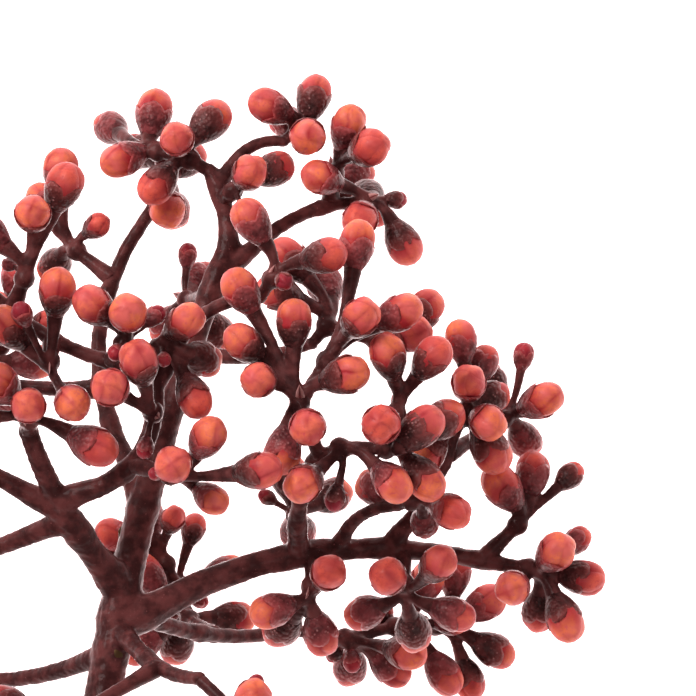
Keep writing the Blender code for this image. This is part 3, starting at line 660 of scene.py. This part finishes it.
# Skins: the values of the shader's own sockets
PINK = (1.0, 0.64, 0.6, 1.0)
PETAL_SKIN = {
    "Roughness": 0.45, "Specular IOR Level": 0.25, "Specular Tint": PINK,
    "Coat Weight": 0.5, "Coat Roughness": 0.06, "Coat IOR": 1.07,
}
LIMB_SKIN = {
    "Specular IOR Level": 0.1, "Specular Tint": PINK,
    "Coat Weight": 1.0, "Coat Roughness": 0.05, "Coat IOR": 1.09,
    "Sheen Weight": 0.4, "Sheen Roughness": 0.07, "Sheen Tint": PINK,
}
CALYX_SKIN = {
    "Roughness": 0.4, "Specular IOR Level": 0.2, "Specular Tint": PINK,
    "Coat Weight": 0.9, "Coat Roughness": 0.06, "Coat IOR": 1.1,
    "Sheen Weight": 0.2, "Sheen Roughness": 0.07, "Sheen Tint": PINK,
}
FLOOR_SKIN = {
    "Base Color": (0.35, 0.35, 0.35, 1), "Roughness": 0.9,
    "Emission Color": (1, 0.8, 0.8, 1), "Emission Strength": 2.2,
}

# Colours. Limbs and scales: two that mottle, that of edges, and the roughness
SPECK = (0.2, 0.06, 0.06)
# The colour of the pale painted glints, painted highlights on calyx warts
PAINTED_GLINT = (0.3, 0.125, 0.12)
SKIN_LOOKS = {
    "bark": ((0.042, 0.0108, 0.0108), (0.116, 0.03, 0.029), SPECK, 0.48),
    "bract_skin": ((0.08, 0.012, 0.014), (0.2, 0.03, 0.03), (0.6, 0.28, 0.26), 0.4),
    "scar_skin": ((0.05, 0.025, 0.01), (0.14, 0.075, 0.03), SPECK, 0.5),
}

# Petals: two that mottle and that of seams and feet. Calyces: two that mottle and that of rims
COROLLA_LOOKS = {
    "corollas_orange": ((0.79, 0.172, 0.075), (0.67, 0.118, 0.1), (0.36, 0.022, 0.028)),
    "corollas_coral": ((0.74, 0.142, 0.085), (0.64, 0.097, 0.09), (0.32, 0.02, 0.028)),
    "corollas_red": ((0.69, 0.1, 0.066), (0.54, 0.07, 0.062), (0.3, 0.022, 0.026)),
    "corollas_crimson": ((0.34, 0.022, 0.03), (0.28, 0.02, 0.034), (0.18, 0.011, 0.02)),
}
CALYX_LOOKS = {
    "calyces_dark": ((0.028, 0.008, 0.008), (0.085, 0.02, 0.02), (0.25, 0.045, 0.042)),
    "calyces_red": ((0.075, 0.014, 0.016), (0.2, 0.038, 0.041), (0.38, 0.06, 0.06)),
}

# Which petals a bud gets: a ripe one by chance, a smaller one by its size
RIPE_COROLLAS = 3 * ("corollas_orange",) + 2 * ("corollas_coral",) + ("corollas_red",)
RED_UP_TO = 0.8
CRIMSON_UP_TO = 0.6

SPRAYS = {**SHOWN_SPRAYS, **GROWN_SPRAYS}
SHIFT = Vector(frame["record"]["mounts"][0]["pos_m"]) - Vector(STEM_FOOT) * MM


def waves(points, depth, wavelength, seed):
    """A smooth value up to about a depth each way at each point, from waves in seeded directions."""
    dice = random.Random(seed)
    rows = points.reshape(-1, 3)
    total = np.zeros(len(rows))
    for _ in range(WAVE_COUNT):
        heading = unit(np.array([dice.gauss(0, 1) for _ in range(3)]))
        length = wavelength * dice.uniform(*WAVE_SPREAD)
        total += np.sin(rows @ heading * (math.tau / length) + dice.uniform(0, math.tau))
    return depth * (total / math.sqrt(WAVE_COUNT) / WAVE_PEAK).reshape(points.shape[:-1])


def patches(points, strength, wavelength, seed):
    """Soft patches, up to a strength, on about half of the points."""
    return np.clip(waves(points, strength, wavelength, seed), 0, strength)


def profile(shape, shares):
    places, values = zip(*shape)
    return np.interp(shares, places, values)


def round_angles(sides):
    return np.arange(sides) * math.tau / sides


def carried(path):
    """Two side directions at each point of a path, turned no more than the path bends."""
    tangents = np.gradient(path, axis=0)
    tangents /= np.linalg.norm(tangents, axis=1)[:, None]
    side, _ = across_from(tangents[0])
    sides = []
    for tangent in tangents:
        side = unit(side - tangent * (side @ tangent))
        sides.append(side)
    return np.array(sides), np.cross(tangents, sides)


def rounds(path, radii, angles):
    """Rings of points round a path. Radii and angles may differ from ring to ring."""
    sides, others = carried(path)
    angles = angles[..., None]
    outwards = sides[:, None] * np.cos(angles) + others[:, None] * np.sin(angles)
    return path[:, None] + radii.reshape(len(path), -1, 1) * outwards


class Gathered:
    """Points and faces of many shapes of one kind, made into one mesh piece."""

    def __init__(self):
        self.points = []
        self.faces = []
        self.values = []
        self.count = 0

    def add_rings(self, rings, first_pole, last_pole, values=0.0):
        """A closed skin over rings of points, with a pole at each end. Its values set the tone."""
        rows, sides = rings.shape[:2]
        self.points.append(np.vstack((rings.reshape(-1, 3), first_pole, last_pole)))
        here = self.count + np.arange(rows * sides).reshape(rows, sides)
        after = np.roll(here, -1, axis=1)
        self.count += rows * sides + 2
        self.faces += np.stack((here[:-1], after[:-1], after[1:], here[1:]), 2).reshape(-1, 4).tolist()
        self.faces += [(second, first, self.count - 2) for first, second in zip(here[0], after[0])]
        self.faces += [(first, second, self.count - 1) for first, second in zip(here[-1], after[-1])]
        values = values + np.zeros((rows, sides))
        self.values.append(np.concatenate((values.reshape(-1), (values[0].mean(), values[-1].mean()))))

    def mesh(self, name):
        made = bpy.data.meshes.new(name)
        made.from_pydata(np.vstack(self.points).tolist(), [], self.faces)
        shade = made.attributes.new("tone", "FLOAT", "POINT")
        shade.data.foreach_set("value", np.concatenate(self.values).astype(np.float32))
        return made


def add_object(name, data, place=(0, 0, 0)):
    made = bpy.data.objects.new(name, data)
    made.location = place
    bpy.context.scene.collection.objects.link(made)
    return made


def piece(name, mesh, look, replaced=()):
    """A finished piece of the plant: its mesh goes from millimetres to the frame's metres."""
    mesh.transform(Matrix.Translation(SHIFT) @ Matrix.Scale(MM, 4))
    mesh.name = name
    mesh.materials.append(look)
    mesh.shade_smooth()
    made = add_object(name, mesh)
    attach(made, "root")
    if replaced:
        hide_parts(*replaced)


def fused(gathered, voxel, bumps):
    """One skin over overlapping tubes and knobs, smoothed where they meet, with fine bumps."""
    rough = add_object("rough", gathered.mesh("rough"))
    remesh = rough.modifiers.new("skin", "REMESH")
    remesh.mode = "VOXEL"
    remesh.voxel_size = voxel
    smooth = rough.modifiers.new("smooth", "SMOOTH")
    smooth.factor, smooth.iterations = SMOOTHING
    bpy.context.view_layer.update()
    evaluated = rough.evaluated_get(bpy.context.evaluated_depsgraph_get())
    mesh = bpy.data.meshes.new_from_object(evaluated)
    bpy.data.meshes.remove(rough.data)
    points, normals = np.empty((2, len(mesh.vertices), 3))
    mesh.vertices.foreach_get("co", points.reshape(-1))
    mesh.vertices.foreach_get("normal", normals.reshape(-1))
    points += normals * sum(waves(points, *bump) for bump in bumps)[:, None]
    mesh.vertices.foreach_set("co", points.reshape(-1))
    mesh.update()
    return mesh


def add_knob(gathered, middle, radius, seed, flat_along=np.zeros(3)):
    """A lumpy ball, as rings from pole to pole, pressed flat along one direction where that is given."""
    tilts = np.linspace(0, math.pi, KNOB_RINGS)[1:-1, None]
    angles = round_angles(TWIG_SIDES)
    ball = np.stack(
        (np.sin(tilts) * np.cos(angles), np.sin(tilts) * np.sin(angles), np.cos(tilts) + 0 * angles), axis=2
    )
    rings = ball * radius * (1 + waves(ball, *KNOB_LUMPS, seed))[:, :, None]
    poles = np.array(((0.0, 0.0, radius), (0.0, 0.0, -radius)))
    rings -= SCAR_PRESSED * (rings @ flat_along)[:, :, None] * flat_along
    poles -= SCAR_PRESSED * (poles @ flat_along)[:, None] * flat_along
    gathered.add_rings(middle + rings, *(middle + poles))


def origin(limbs, parent, share):
    """Where something that stands on a limb meets the limb's axis, and the limb's radius there."""
    return limbs[parent].at(share), float(np.interp(share, (0, 1), limbs[parent].radii[[0, -1]]))


def flare(along, inside):
    """How much wider a limb is near its root than its plain taper."""
    return 1 + FLARE * np.exp(-np.maximum(along - inside, 0) / FLARE_LENGTH)


def limb_rings(limb, limbs, nodes):
    """A limb from its parent's axis, with a flare at its root, swollen nodes and shallow ridges."""
    path = limb.path
    if limb.name in BOUGHS:
        start, _ = origin(limbs, *BOUGHS[limb.name][:2])
        inside = np.linalg.norm(path[0] - start)
        path = np.vstack((start, path))
    lengths = np.concatenate(([0], np.cumsum(np.linalg.norm(np.diff(path, axis=0), axis=1))))
    along = np.linspace(0, lengths[-1], int(lengths[-1] / LIMB_STEP))
    fine = np.column_stack([np.interp(along, lengths, path[:, axis]) for axis in range(3)])
    for _ in range(BEND_ROUNDS):
        fine[1:-1] = (fine[:-2] + 2 * fine[1:-1] + fine[2:]) / 4
    radii = np.interp(along / along[-1], np.linspace(0, 1, len(limb.radii)), limb.radii)
    if limb.name in BOUGHS:
        radii = radii * flare(along, inside)
    for share in nodes:
        radii = radii + NODE_SWELL * np.exp(-((along - share * along[-1]) / NODE_LENGTH) ** 2)
    angles = round_angles(WOOD_SIDES)
    ridged = 1 + RIDGE_DEPTH * np.cos(RIDGES * angles + along[:, None] * RIDGE_TURN)
    return fine, rounds(fine, radii[:, None] * ridged, angles)


def gather_limbs(limbs):
    """The stem and the boughs, with a node wherever something leaves the side of one."""
    gathered = Gathered()
    nodes = {name: [] for name in limbs}
    for parent, share, *_ in (*BOUGHS.values(), *SPRAYS.values()):
        if share < 1.0:
            nodes[parent].append(share)
    for number, limb in enumerate(limbs.values()):
        path, rings = limb_rings(limb, limbs, nodes[limb.name])
        gathered.add_rings(rings, path[0], path[-1])
        add_knob(gathered, path[-1], KNOB_SHARE * limb.radii[-1], number)
    return gathered


def add_stalk(gathered, shown):
    """A bud's stalk, slimmer under a small bud, which swells into the foot of its bud."""
    shares = np.linspace(0, 1, len(shown.stalk))
    slim = min(1.0, SLIMMEST_STALK + (1 - SLIMMEST_STALK) * shown.size)
    radii = STALK_RADIUS * slim * profile(STALK_SHAPE, shares)
    club = np.clip((shares - STALK_CLUB) / (1 - STALK_CLUB), 0, 1) ** CLUB_CURVE
    radii += (profile(BUD_SHAPE, 0) * shown.radius - radii) * club
    radii = np.append(radii, profile(BUD_SHAPE, STALK_IN_BUD) * shown.radius)
    path = np.vstack((shown.stalk, shown.foot + shown.axis * STALK_IN_BUD * shown.length))
    gathered.add_rings(rounds(path, radii, round_angles(TWIG_SIDES)), path[0], path[-1])


def gather_twigs(sprays, limbs):
    """Stems of sprays, knobs at their forks, and the stalks of buds."""
    gathered = Gathered()
    for number, spray in enumerate(sprays):
        parent, share, *_ = SPRAYS[spray.name]
        carrier, carrier_radius = origin(limbs, parent, share)
        for index, (start, end) in enumerate(spray.stems):
            radii = np.linspace(*SPRAY_STEM_RADII, STEM_PLACES)
            path = np.linspace(carrier if index == 0 else start, end, STEM_PLACES)
            if index == 0 and share == 1.0:
                radii = np.linspace(carrier_radius, SPRAY_STEM_RADII[1], STEM_PLACES)
            elif index == 0:
                along = np.linalg.norm(path - carrier, axis=1)
                radii = radii * flare(along, np.linalg.norm(start - carrier))
            gathered.add_rings(rounds(path, radii, round_angles(TWIG_SIDES)), path[0], path[-1])
            add_knob(gathered, end, KNOB_SHARE * KNOB_RADIUS, number * KNOB_SEEDS + index)
        for shown in spray.buds:
            add_stalk(gathered, shown)
    return gathered


def gather_scars(limbs):
    """The scar of a fallen leaf under each bough on the lower part of the main stem."""
    gathered = Gathered()
    stem = limbs["main_stem"]
    for number, (name, (parent, share, *_)) in enumerate(BOUGHS.items()):
        if parent != "main_stem" or share > SCAR_HIGHEST:
            continue
        middle, radius = origin(limbs, parent, share)
        up = unit(stem.at(share + SCAR_PROBE) - stem.at(share - SCAR_PROBE))
        outwards = limbs[name].path[1] - middle
        outwards = unit(outwards - up * (outwards @ up))
        place = middle - up * (radius + SCAR_RADIUS) + outwards * radius * SCAR_SUNK
        add_knob(gathered, place, SCAR_RADIUS, number, outwards)
    return gathered


def forks_of(sprays, limbs, reach):
    """Each fork: its spray, the heading of its stem, its place, and all that stands within reach."""
    standing = [limb.balls for limb in limbs.values()] + [spray.all_balls() for spray in sprays]
    taken = np.concatenate(standing)
    for spray in sprays:
        for index, (_, fork) in enumerate(spray.stems):
            near = np.linalg.norm(taken[:, :3] - fork, axis=1) < reach
            yield spray, spray.heading(index), fork, taken[near]


def grow_fine(sprays, limbs):
    """Tiny unripe buds that stand close in at the forks, where there is room."""
    dice = random.Random(FINE_SEED)
    for spray, heading, fork, near in forks_of(sprays, limbs, FINE_SEARCH):
        wanted = FINE_ON_GROWN if spray.name in GROWN_SPRAYS else dice.choice(AT_SOME_FORKS)
        for _ in range(FINE_TRIES):
            if wanted == 0:
                break
            ahead = tilted(heading, dice.uniform(*FINE_TILTS), dice.uniform(0, math.tau))
            middle = fork + ahead * dice.uniform(*FINE_BUD_REACH)
            new = Bud(fork, heading, bud(*middle, size=dice.uniform(*FINE_BUD_SIZES)))
            free = beyond(new.stalk_balls, fork)
            if min(room_between(new.balls, near), room_between(free, near)) > FINE_GAP:
                spray.buds.append(new)
                near = np.concatenate((near, new.balls, free))
                wanted -= 1


def add_bract(gathered, fork, ahead, bow):
    """A pointed scale, flat and bent a little outwards."""
    path = bowed(fork, fork + ahead, bow, BRACT_PLACES)
    widths = BRACT_WIDTH * profile(BRACT_SHAPE, np.linspace(0, 1, BRACT_PLACES))
    angles = round_angles(BRACT_SIDES)
    oval = BRACT_FLATNESS / np.hypot(BRACT_FLATNESS * np.cos(angles), np.sin(angles))
    rings = rounds(path, widths[:, None] * oval, angles)
    gathered.add_rings(rings, path[0], path[-1], np.cos(angles) ** BRACT_EDGE_CURVE)


def gather_bracts(sprays, limbs):
    """A pointed scale at some of the forks, where there is room."""
    dice = random.Random(BRACT_SEED)
    gathered = Gathered()
    for _, heading, fork, near in forks_of(sprays, limbs, BRACT_SEARCH):
        wanted = dice.choice(AT_SOME_FORKS)
        for _ in range(FINE_TRIES):
            ahead = tilted(heading, dice.uniform(*BRACT_TILTS), dice.uniform(0, math.tau))
            ahead = ahead * dice.uniform(*BRACT_LENGTHS)
            line = np.linspace(fork, fork + ahead, BRACT_STATIONS)
            balls = balls_along(line, np.full(BRACT_STATIONS, BRACT_ROOM))
            if wanted and room_between(beyond(balls, fork), near) > BRACT_GAP:
                add_bract(gathered, fork, ahead, heading * BRACT_BOW)
                wanted -= 1
    return gathered


def bud_angles(turn):
    """Directions round a bud, close together at each of its four seams."""
    quarter = np.radians(QUARTER_ANGLES)
    return np.concatenate([quarter + index * QUARTER for index in range(PETALS)]) + turn


def off_seam(angles, turn):
    """The angle of each direction from the nearest seam between petals."""
    return (angles - turn + QUARTER) % QUARTER - QUARTER / 2


def add_corolla(gathered, shown, turn, seed):
    """Four petals closed to a rounded square dome, with a groove along each seam."""
    dice = random.Random(seed)
    angles = bud_angles(turn)
    rises = np.sin(np.linspace(0, QUARTER, COROLLA_RINGS + 1))[:-1]
    shares = COROLLA_START + (1 - COROLLA_START) * rises
    radii = profile(BUD_SHAPE, shares)[:, None] * shown.radius * dice.uniform(*SLIM_PETALS)
    from_seam = np.abs(off_seam(angles, turn))
    full = profile(PETAL_BULGE_SHAPE, shares)[:, None]
    corners = np.cos(PETALS * (angles - turn) + dice.uniform(0, math.tau))
    bulge = 1 + PETAL_BULGE * full * (np.sin(2 * from_seam) - UNBULGED) + SQUARENESS * corners
    across = radii * np.sin(from_seam)
    groove = SEAM_DEPTH * np.exp(-(across / SEAM_WIDTH) ** 2)
    path = shown.foot + np.outer(shares * shown.length, shown.axis)
    twist = dice.uniform(-SEAM_TWIST, SEAM_TWIST) * profile(TWIST_SHAPE, shares)[:, None]
    rings = rounds(path, radii * bulge - groove, angles + twist)
    rings += (rings - path[:, None]) * waves(rings, *PETAL_LUMPS, seed)[:, :, None]
    edge = dice.uniform(*SEAM_SHADES) * np.exp(-(across / SEAM_SHADE_WIDTH) ** 2)
    low = profile(FOOT_SHADE, shares)[:, None]
    drawn = rings - STREAK_STRETCH * ((rings - shown.foot) @ shown.axis)[:, :, None] * shown.axis
    shade = edge + low + patches(rings, *BLUSH, seed + 1) + patches(drawn, *STREAKS, seed + 2)
    tip = shown.foot + shown.axis * (shown.length - SEAM_DEPTH)
    gathered.add_rings(rings, path[0], tip, np.clip(shade, 0, 1))


def add_calyx(gathered, shown, turn, seed):
    """A warty cup with four rounded lobes that lap over the foot of the petals."""
    dice = random.Random(seed)
    angles = bud_angles(turn)
    lobes = np.abs(np.cos(2 * off_seam(angles, turn))) ** LOBE_CURVE
    heights = [dice.uniform(*LOBE_HEIGHTS) for _ in range(PETALS)]
    heights = np.roll(np.repeat(heights, len(QUARTER_ANGLES)), len(QUARTER_ANGLES) // 2)
    unripe = 1 - min(1.0, shown.size)
    rim = dice.uniform(*CALYX_RIMS) + CALYX_LOBE * heights * lobes + unripe * UNRIPE_RIM
    flat = np.column_stack((np.cos(angles), np.sin(angles), np.full(len(angles), seed * RIM_SHIFT)))
    rim += waves(flat, *RIM_LUMPS, seed)
    steps = np.linspace(0, 1, CALYX_RINGS)[:, None]
    shares = CALYX_START + steps * (rim - CALYX_START)
    thick = CALYX_THICK * np.sqrt(1 - steps**LIP_CURVE) * profile(CALYX_THICKENS, steps)
    radii = profile(BUD_SHAPE, shares) * shown.radius + thick
    shares = np.vstack((shares, rim - LIP_DEPTH))
    radii = np.vstack((radii, profile(BUD_SHAPE, rim - LIP_DEPTH) * shown.radius - LIP_INSET))
    side, other = across_from(shown.axis)
    reach = side * np.cos(angles)[:, None] + other * np.sin(angles)[:, None]
    rings = shown.foot + shown.axis * (shares * shown.length)[:, :, None] + reach * radii[:, :, None]
    fade = np.vstack((profile(WARTS_FADE, steps), [[0.0]]))
    rings += reach * (waves(rings, *CALYX_WARTS, seed) * fade)[:, :, None]
    edge = np.vstack((steps**RIM_SHADE_CURVE, [[1.0]]))
    pole = shown.foot + shown.axis * CALYX_POLE * shown.length
    gathered.add_rings(rings, shown.foot, pole, edge)


def gather_buds(sprays):
    """All petals and calyces, by colour. The petals of small buds are redder."""
    gathered = {name: Gathered() for name in (*COROLLA_LOOKS, *CALYX_LOOKS)}
    dice = random.Random(BUD_SEED)
    for spray in sprays:
        for shown in spray.buds:
            turn = dice.uniform(0, math.tau)
            seed = dice.randrange(10**6)
            corolla = dice.choice(RIPE_COROLLAS)
            if shown.size <= CRIMSON_UP_TO:
                corolla = "corollas_crimson"
            elif shown.size <= RED_UP_TO:
                corolla = "corollas_red"
            add_corolla(gathered[corolla], shown, turn, seed)
            add_calyx(gathered[list(CALYX_LOOKS)[seed % 2]], shown, turn, seed)
    return gathered


def fill(tree, node, sockets):
    """Give each named socket of a node its value or its link."""
    for name, value in sockets.items():
        if isinstance(value, bpy.types.NodeSocket):
            tree.links.new(value, node.inputs[name])
        else:
            node.inputs[name].default_value = value


def new_node(tree, kind, sockets):
    made = tree.nodes.new("ShaderNode" + kind)
    fill(tree, made, sockets)
    return made


def node_material(name, skin):
    """A material of one shader, with the values that are the same all over."""
    made = bpy.data.materials.new(name)
    made.use_nodes = True
    tree = made.node_tree
    tree.nodes.clear()
    shader = new_node(tree, "BsdfPrincipled", skin)
    new_node(tree, "OutputMaterial", {"Surface": shader.outputs["BSDF"]})
    return made, tree, shader


def texture(tree, kind, scale):
    """A texture that is fixed to the piece. Its scale counts its lumps in a millimetre."""
    place = tree.nodes.new("ShaderNodeTexCoord").outputs["Object"]
    return new_node(tree, kind, {"Vector": place, "Scale": scale / MM})


def noise(tree, scale, detail):
    made = texture(tree, "TexNoise", scale)
    made.inputs["Detail"].default_value = detail
    return made.outputs["Fac"]


def warts_in(tree):
    """Soft-edged pebbles: 0 at the middle of each."""
    made = texture(tree, "TexVoronoi", WARTS_IN_MM)
    made.feature = "SMOOTH_F1"
    made.inputs["Smoothness"].default_value = WART_SOFTNESS
    return made.outputs["Distance"]


def ramp(tree, value, low, high, start=0.0, end=1.0):
    """A soft change from start to end while a value goes from low to high."""
    limits = {"From Min": low, "From Max": high, "To Min": start, "To Max": end}
    made = new_node(tree, "MapRange", {"Value": value, **limits})
    made.interpolation_type = "SMOOTHSTEP"
    return made.outputs["Result"]


def pattern(tree, scale, detail, low, high):
    return ramp(tree, noise(tree, scale, detail), low, high)


def mixed(tree, factor, first, second):
    """A colour between two. Each is a colour or a link to one."""
    made = new_node(tree, "Mix", {"Factor": factor})
    made.data_type = "RGBA"
    slots = [slot for slot in made.inputs if slot.type == "RGBA"]
    for slot, colour in zip(slots, (first, second)):
        if isinstance(colour, tuple):
            slot.default_value = (*colour, 1)
        else:
            tree.links.new(colour, slot)
    return [slot for slot in made.outputs if slot.type == "RGBA"][0]


def tone(tree):
    made = tree.nodes.new("ShaderNodeAttribute")
    made.attribute_name = "tone"
    return made.outputs["Fac"]


def bumped(tree, height, depth, strength, inverted=False):
    made = new_node(tree, "Bump", {"Height": height, "Distance": depth * MM, "Strength": strength})
    made.invert = inverted
    return made.outputs["Normal"]


def grain(tree, scale, detail, depth, strength):
    return bumped(tree, noise(tree, scale, detail), depth, strength)


def petal_material(name, light, rosy, deep):
    """Waxy petals: an orange and rosy mottle, deeper red along the seams and at the foot."""
    made, tree, shader = node_material(name, PETAL_SKIN)
    mottled = mixed(tree, pattern(tree, *PETAL_MOTTLE), light, rosy)
    flecked = mixed(tree, pattern(tree, *PETAL_FLECKS), mottled, rosy)
    edged = mixed(tree, tone(tree), flecked, deep)
    fill(tree, shader, {"Base Color": edged, "Normal": grain(tree, *PETAL_GRAIN)})
    return made


def skin_material(name, dark, light, edge, roughness):
    """The maroon skin of limbs and twigs, shiny at its edges, with fine pale specks."""
    made, tree, shader = node_material(name, {**LIMB_SKIN, "Roughness": roughness})
    mottled = mixed(tree, pattern(tree, *SKIN_MOTTLE), dark, light)
    edged = mixed(tree, tone(tree), mottled, edge)
    speckled = mixed(tree, pattern(tree, *SKIN_SPECKS), edged, SPECK)
    fill(tree, shader, {"Base Color": speckled, "Normal": grain(tree, *SKIN_GRAIN)})
    return made


def calyx_material(name, dark, light, edge):
    """The glossy warty skin of a calyx, redder along its rim, with painted highlights: wart tops painted
    lighter, and pale painted glints on some warts.
    """
    made, tree, shader = node_material(name, CALYX_SKIN)
    warts = warts_in(tree)
    mottled = mixed(tree, pattern(tree, *CALYX_MOTTLE), dark, light)
    # Painted highlight: the tops of warts painted in the lighter colour
    lit = mixed(tree, ramp(tree, warts, *PAINTED_LIGHT_WART_TOPS), mottled, light)
    # Painted glints: the middles of warts painted pale as painted highlights, only in some patches
    painted_glints = mixed(tree, ramp(tree, warts, *PAINTED_GLINT_TOPS), lit, PAINTED_GLINT)
    painted_glinting = mixed(tree, pattern(tree, *CALYX_PAINTED_GLINTS), lit, painted_glints)
    edged = mixed(tree, tone(tree), painted_glinting, edge)
    fill(tree, shader, {"Base Color": edged, "Normal": bumped(tree, warts, *WART_BUMPS, True)})
    return made


def make_sky():
    """A pale horizon that fades to grey overhead, so that limbs shine at their edges only."""
    world = bpy.data.worlds.new("studio")
    world.use_nodes = True
    tree = world.node_tree
    place = tree.nodes.new("ShaderNodeTexCoord").outputs["Generated"]
    axes = new_node(tree, "SeparateXYZ", {"Vector": place})
    fade = ramp(tree, axes.outputs["Z"], *SKY_FADE, *SKY_STRENGTHS)
    fill(tree, tree.nodes["Background"], {"Color": (1, 1, 1, 1), "Strength": fade})
    bpy.context.scene.world = world


def make_stage():
    """The glowing floor, the sky, the lights, and the camera that looks straight down."""
    bpy.ops.mesh.primitive_plane_add(size=FLOOR_SIZE, location=(0, 0, FLOOR_HEIGHT))
    floor = bpy.context.object
    floor.name = "floor"
    floor.data.materials.append(node_material("white_floor", FLOOR_SKIN)[0])
    floor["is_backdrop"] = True
    make_sky()
    for name, (place, width, watts) in LIGHTS.items():
        lamp = bpy.data.lights.new(name, "AREA")
        lamp.energy = watts
        lamp.size = width
        made = add_object(name, lamp, place)
        made.rotation_mode = "QUATERNION"
        made.rotation_quaternion = Vector(place).to_track_quat("Z", "Y")
    lens = bpy.data.cameras.new("camera")
    lens.lens = lens.sensor_width * CAMERA_DISTANCE / PICTURE_WIDTH
    lens.clip_start, lens.clip_end = CLIP
    place = Vector((PICTURE_WIDTH / 2, PICTURE_WIDTH / 2, FOCUS_HEIGHT + CAMERA_DISTANCE))
    bpy.context.scene.camera = add_object("camera", lens, place * MM + SHIFT)
    bpy.context.scene.view_settings.view_transform = "Standard"


def main():
    make_stage()
    limbs = grow_limbs()
    sprays = grow_sprays(limbs)
    grow_fine(sprays, limbs)
    bark, scale, scar = (skin_material(name, *look) for name, look in SKIN_LOOKS.items())
    wood = fused(gather_limbs(limbs), LIMB_VOXEL, LIMB_BUMPS)
    piece("stem_and_boughs", wood, bark, list(limbs))
    for (name, voxel), listed in zip(TWIG_VOXELS.items(), (SHOWN_SPRAYS, GROWN_SPRAYS)):
        some = [spray for spray in sprays if spray.name in listed]
        piece(name, fused(gather_twigs(some, limbs), voxel, TWIG_BUMPS), bark, list(listed))
    gathered = gather_buds(sprays)
    for material, looks in ((petal_material, COROLLA_LOOKS), (calyx_material, CALYX_LOOKS)):
        for name, colours in looks.items():
            piece(name, gathered[name].mesh(name), material(name, *colours))
    piece("bracts", gather_bracts(sprays, limbs).mesh("bracts"), scale)
    piece("leaf_scars", gather_scars(limbs).mesh("leaf_scars"), scar)


main()
[[list(corner) for corner in box] for box in (CAD_BOX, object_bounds())]
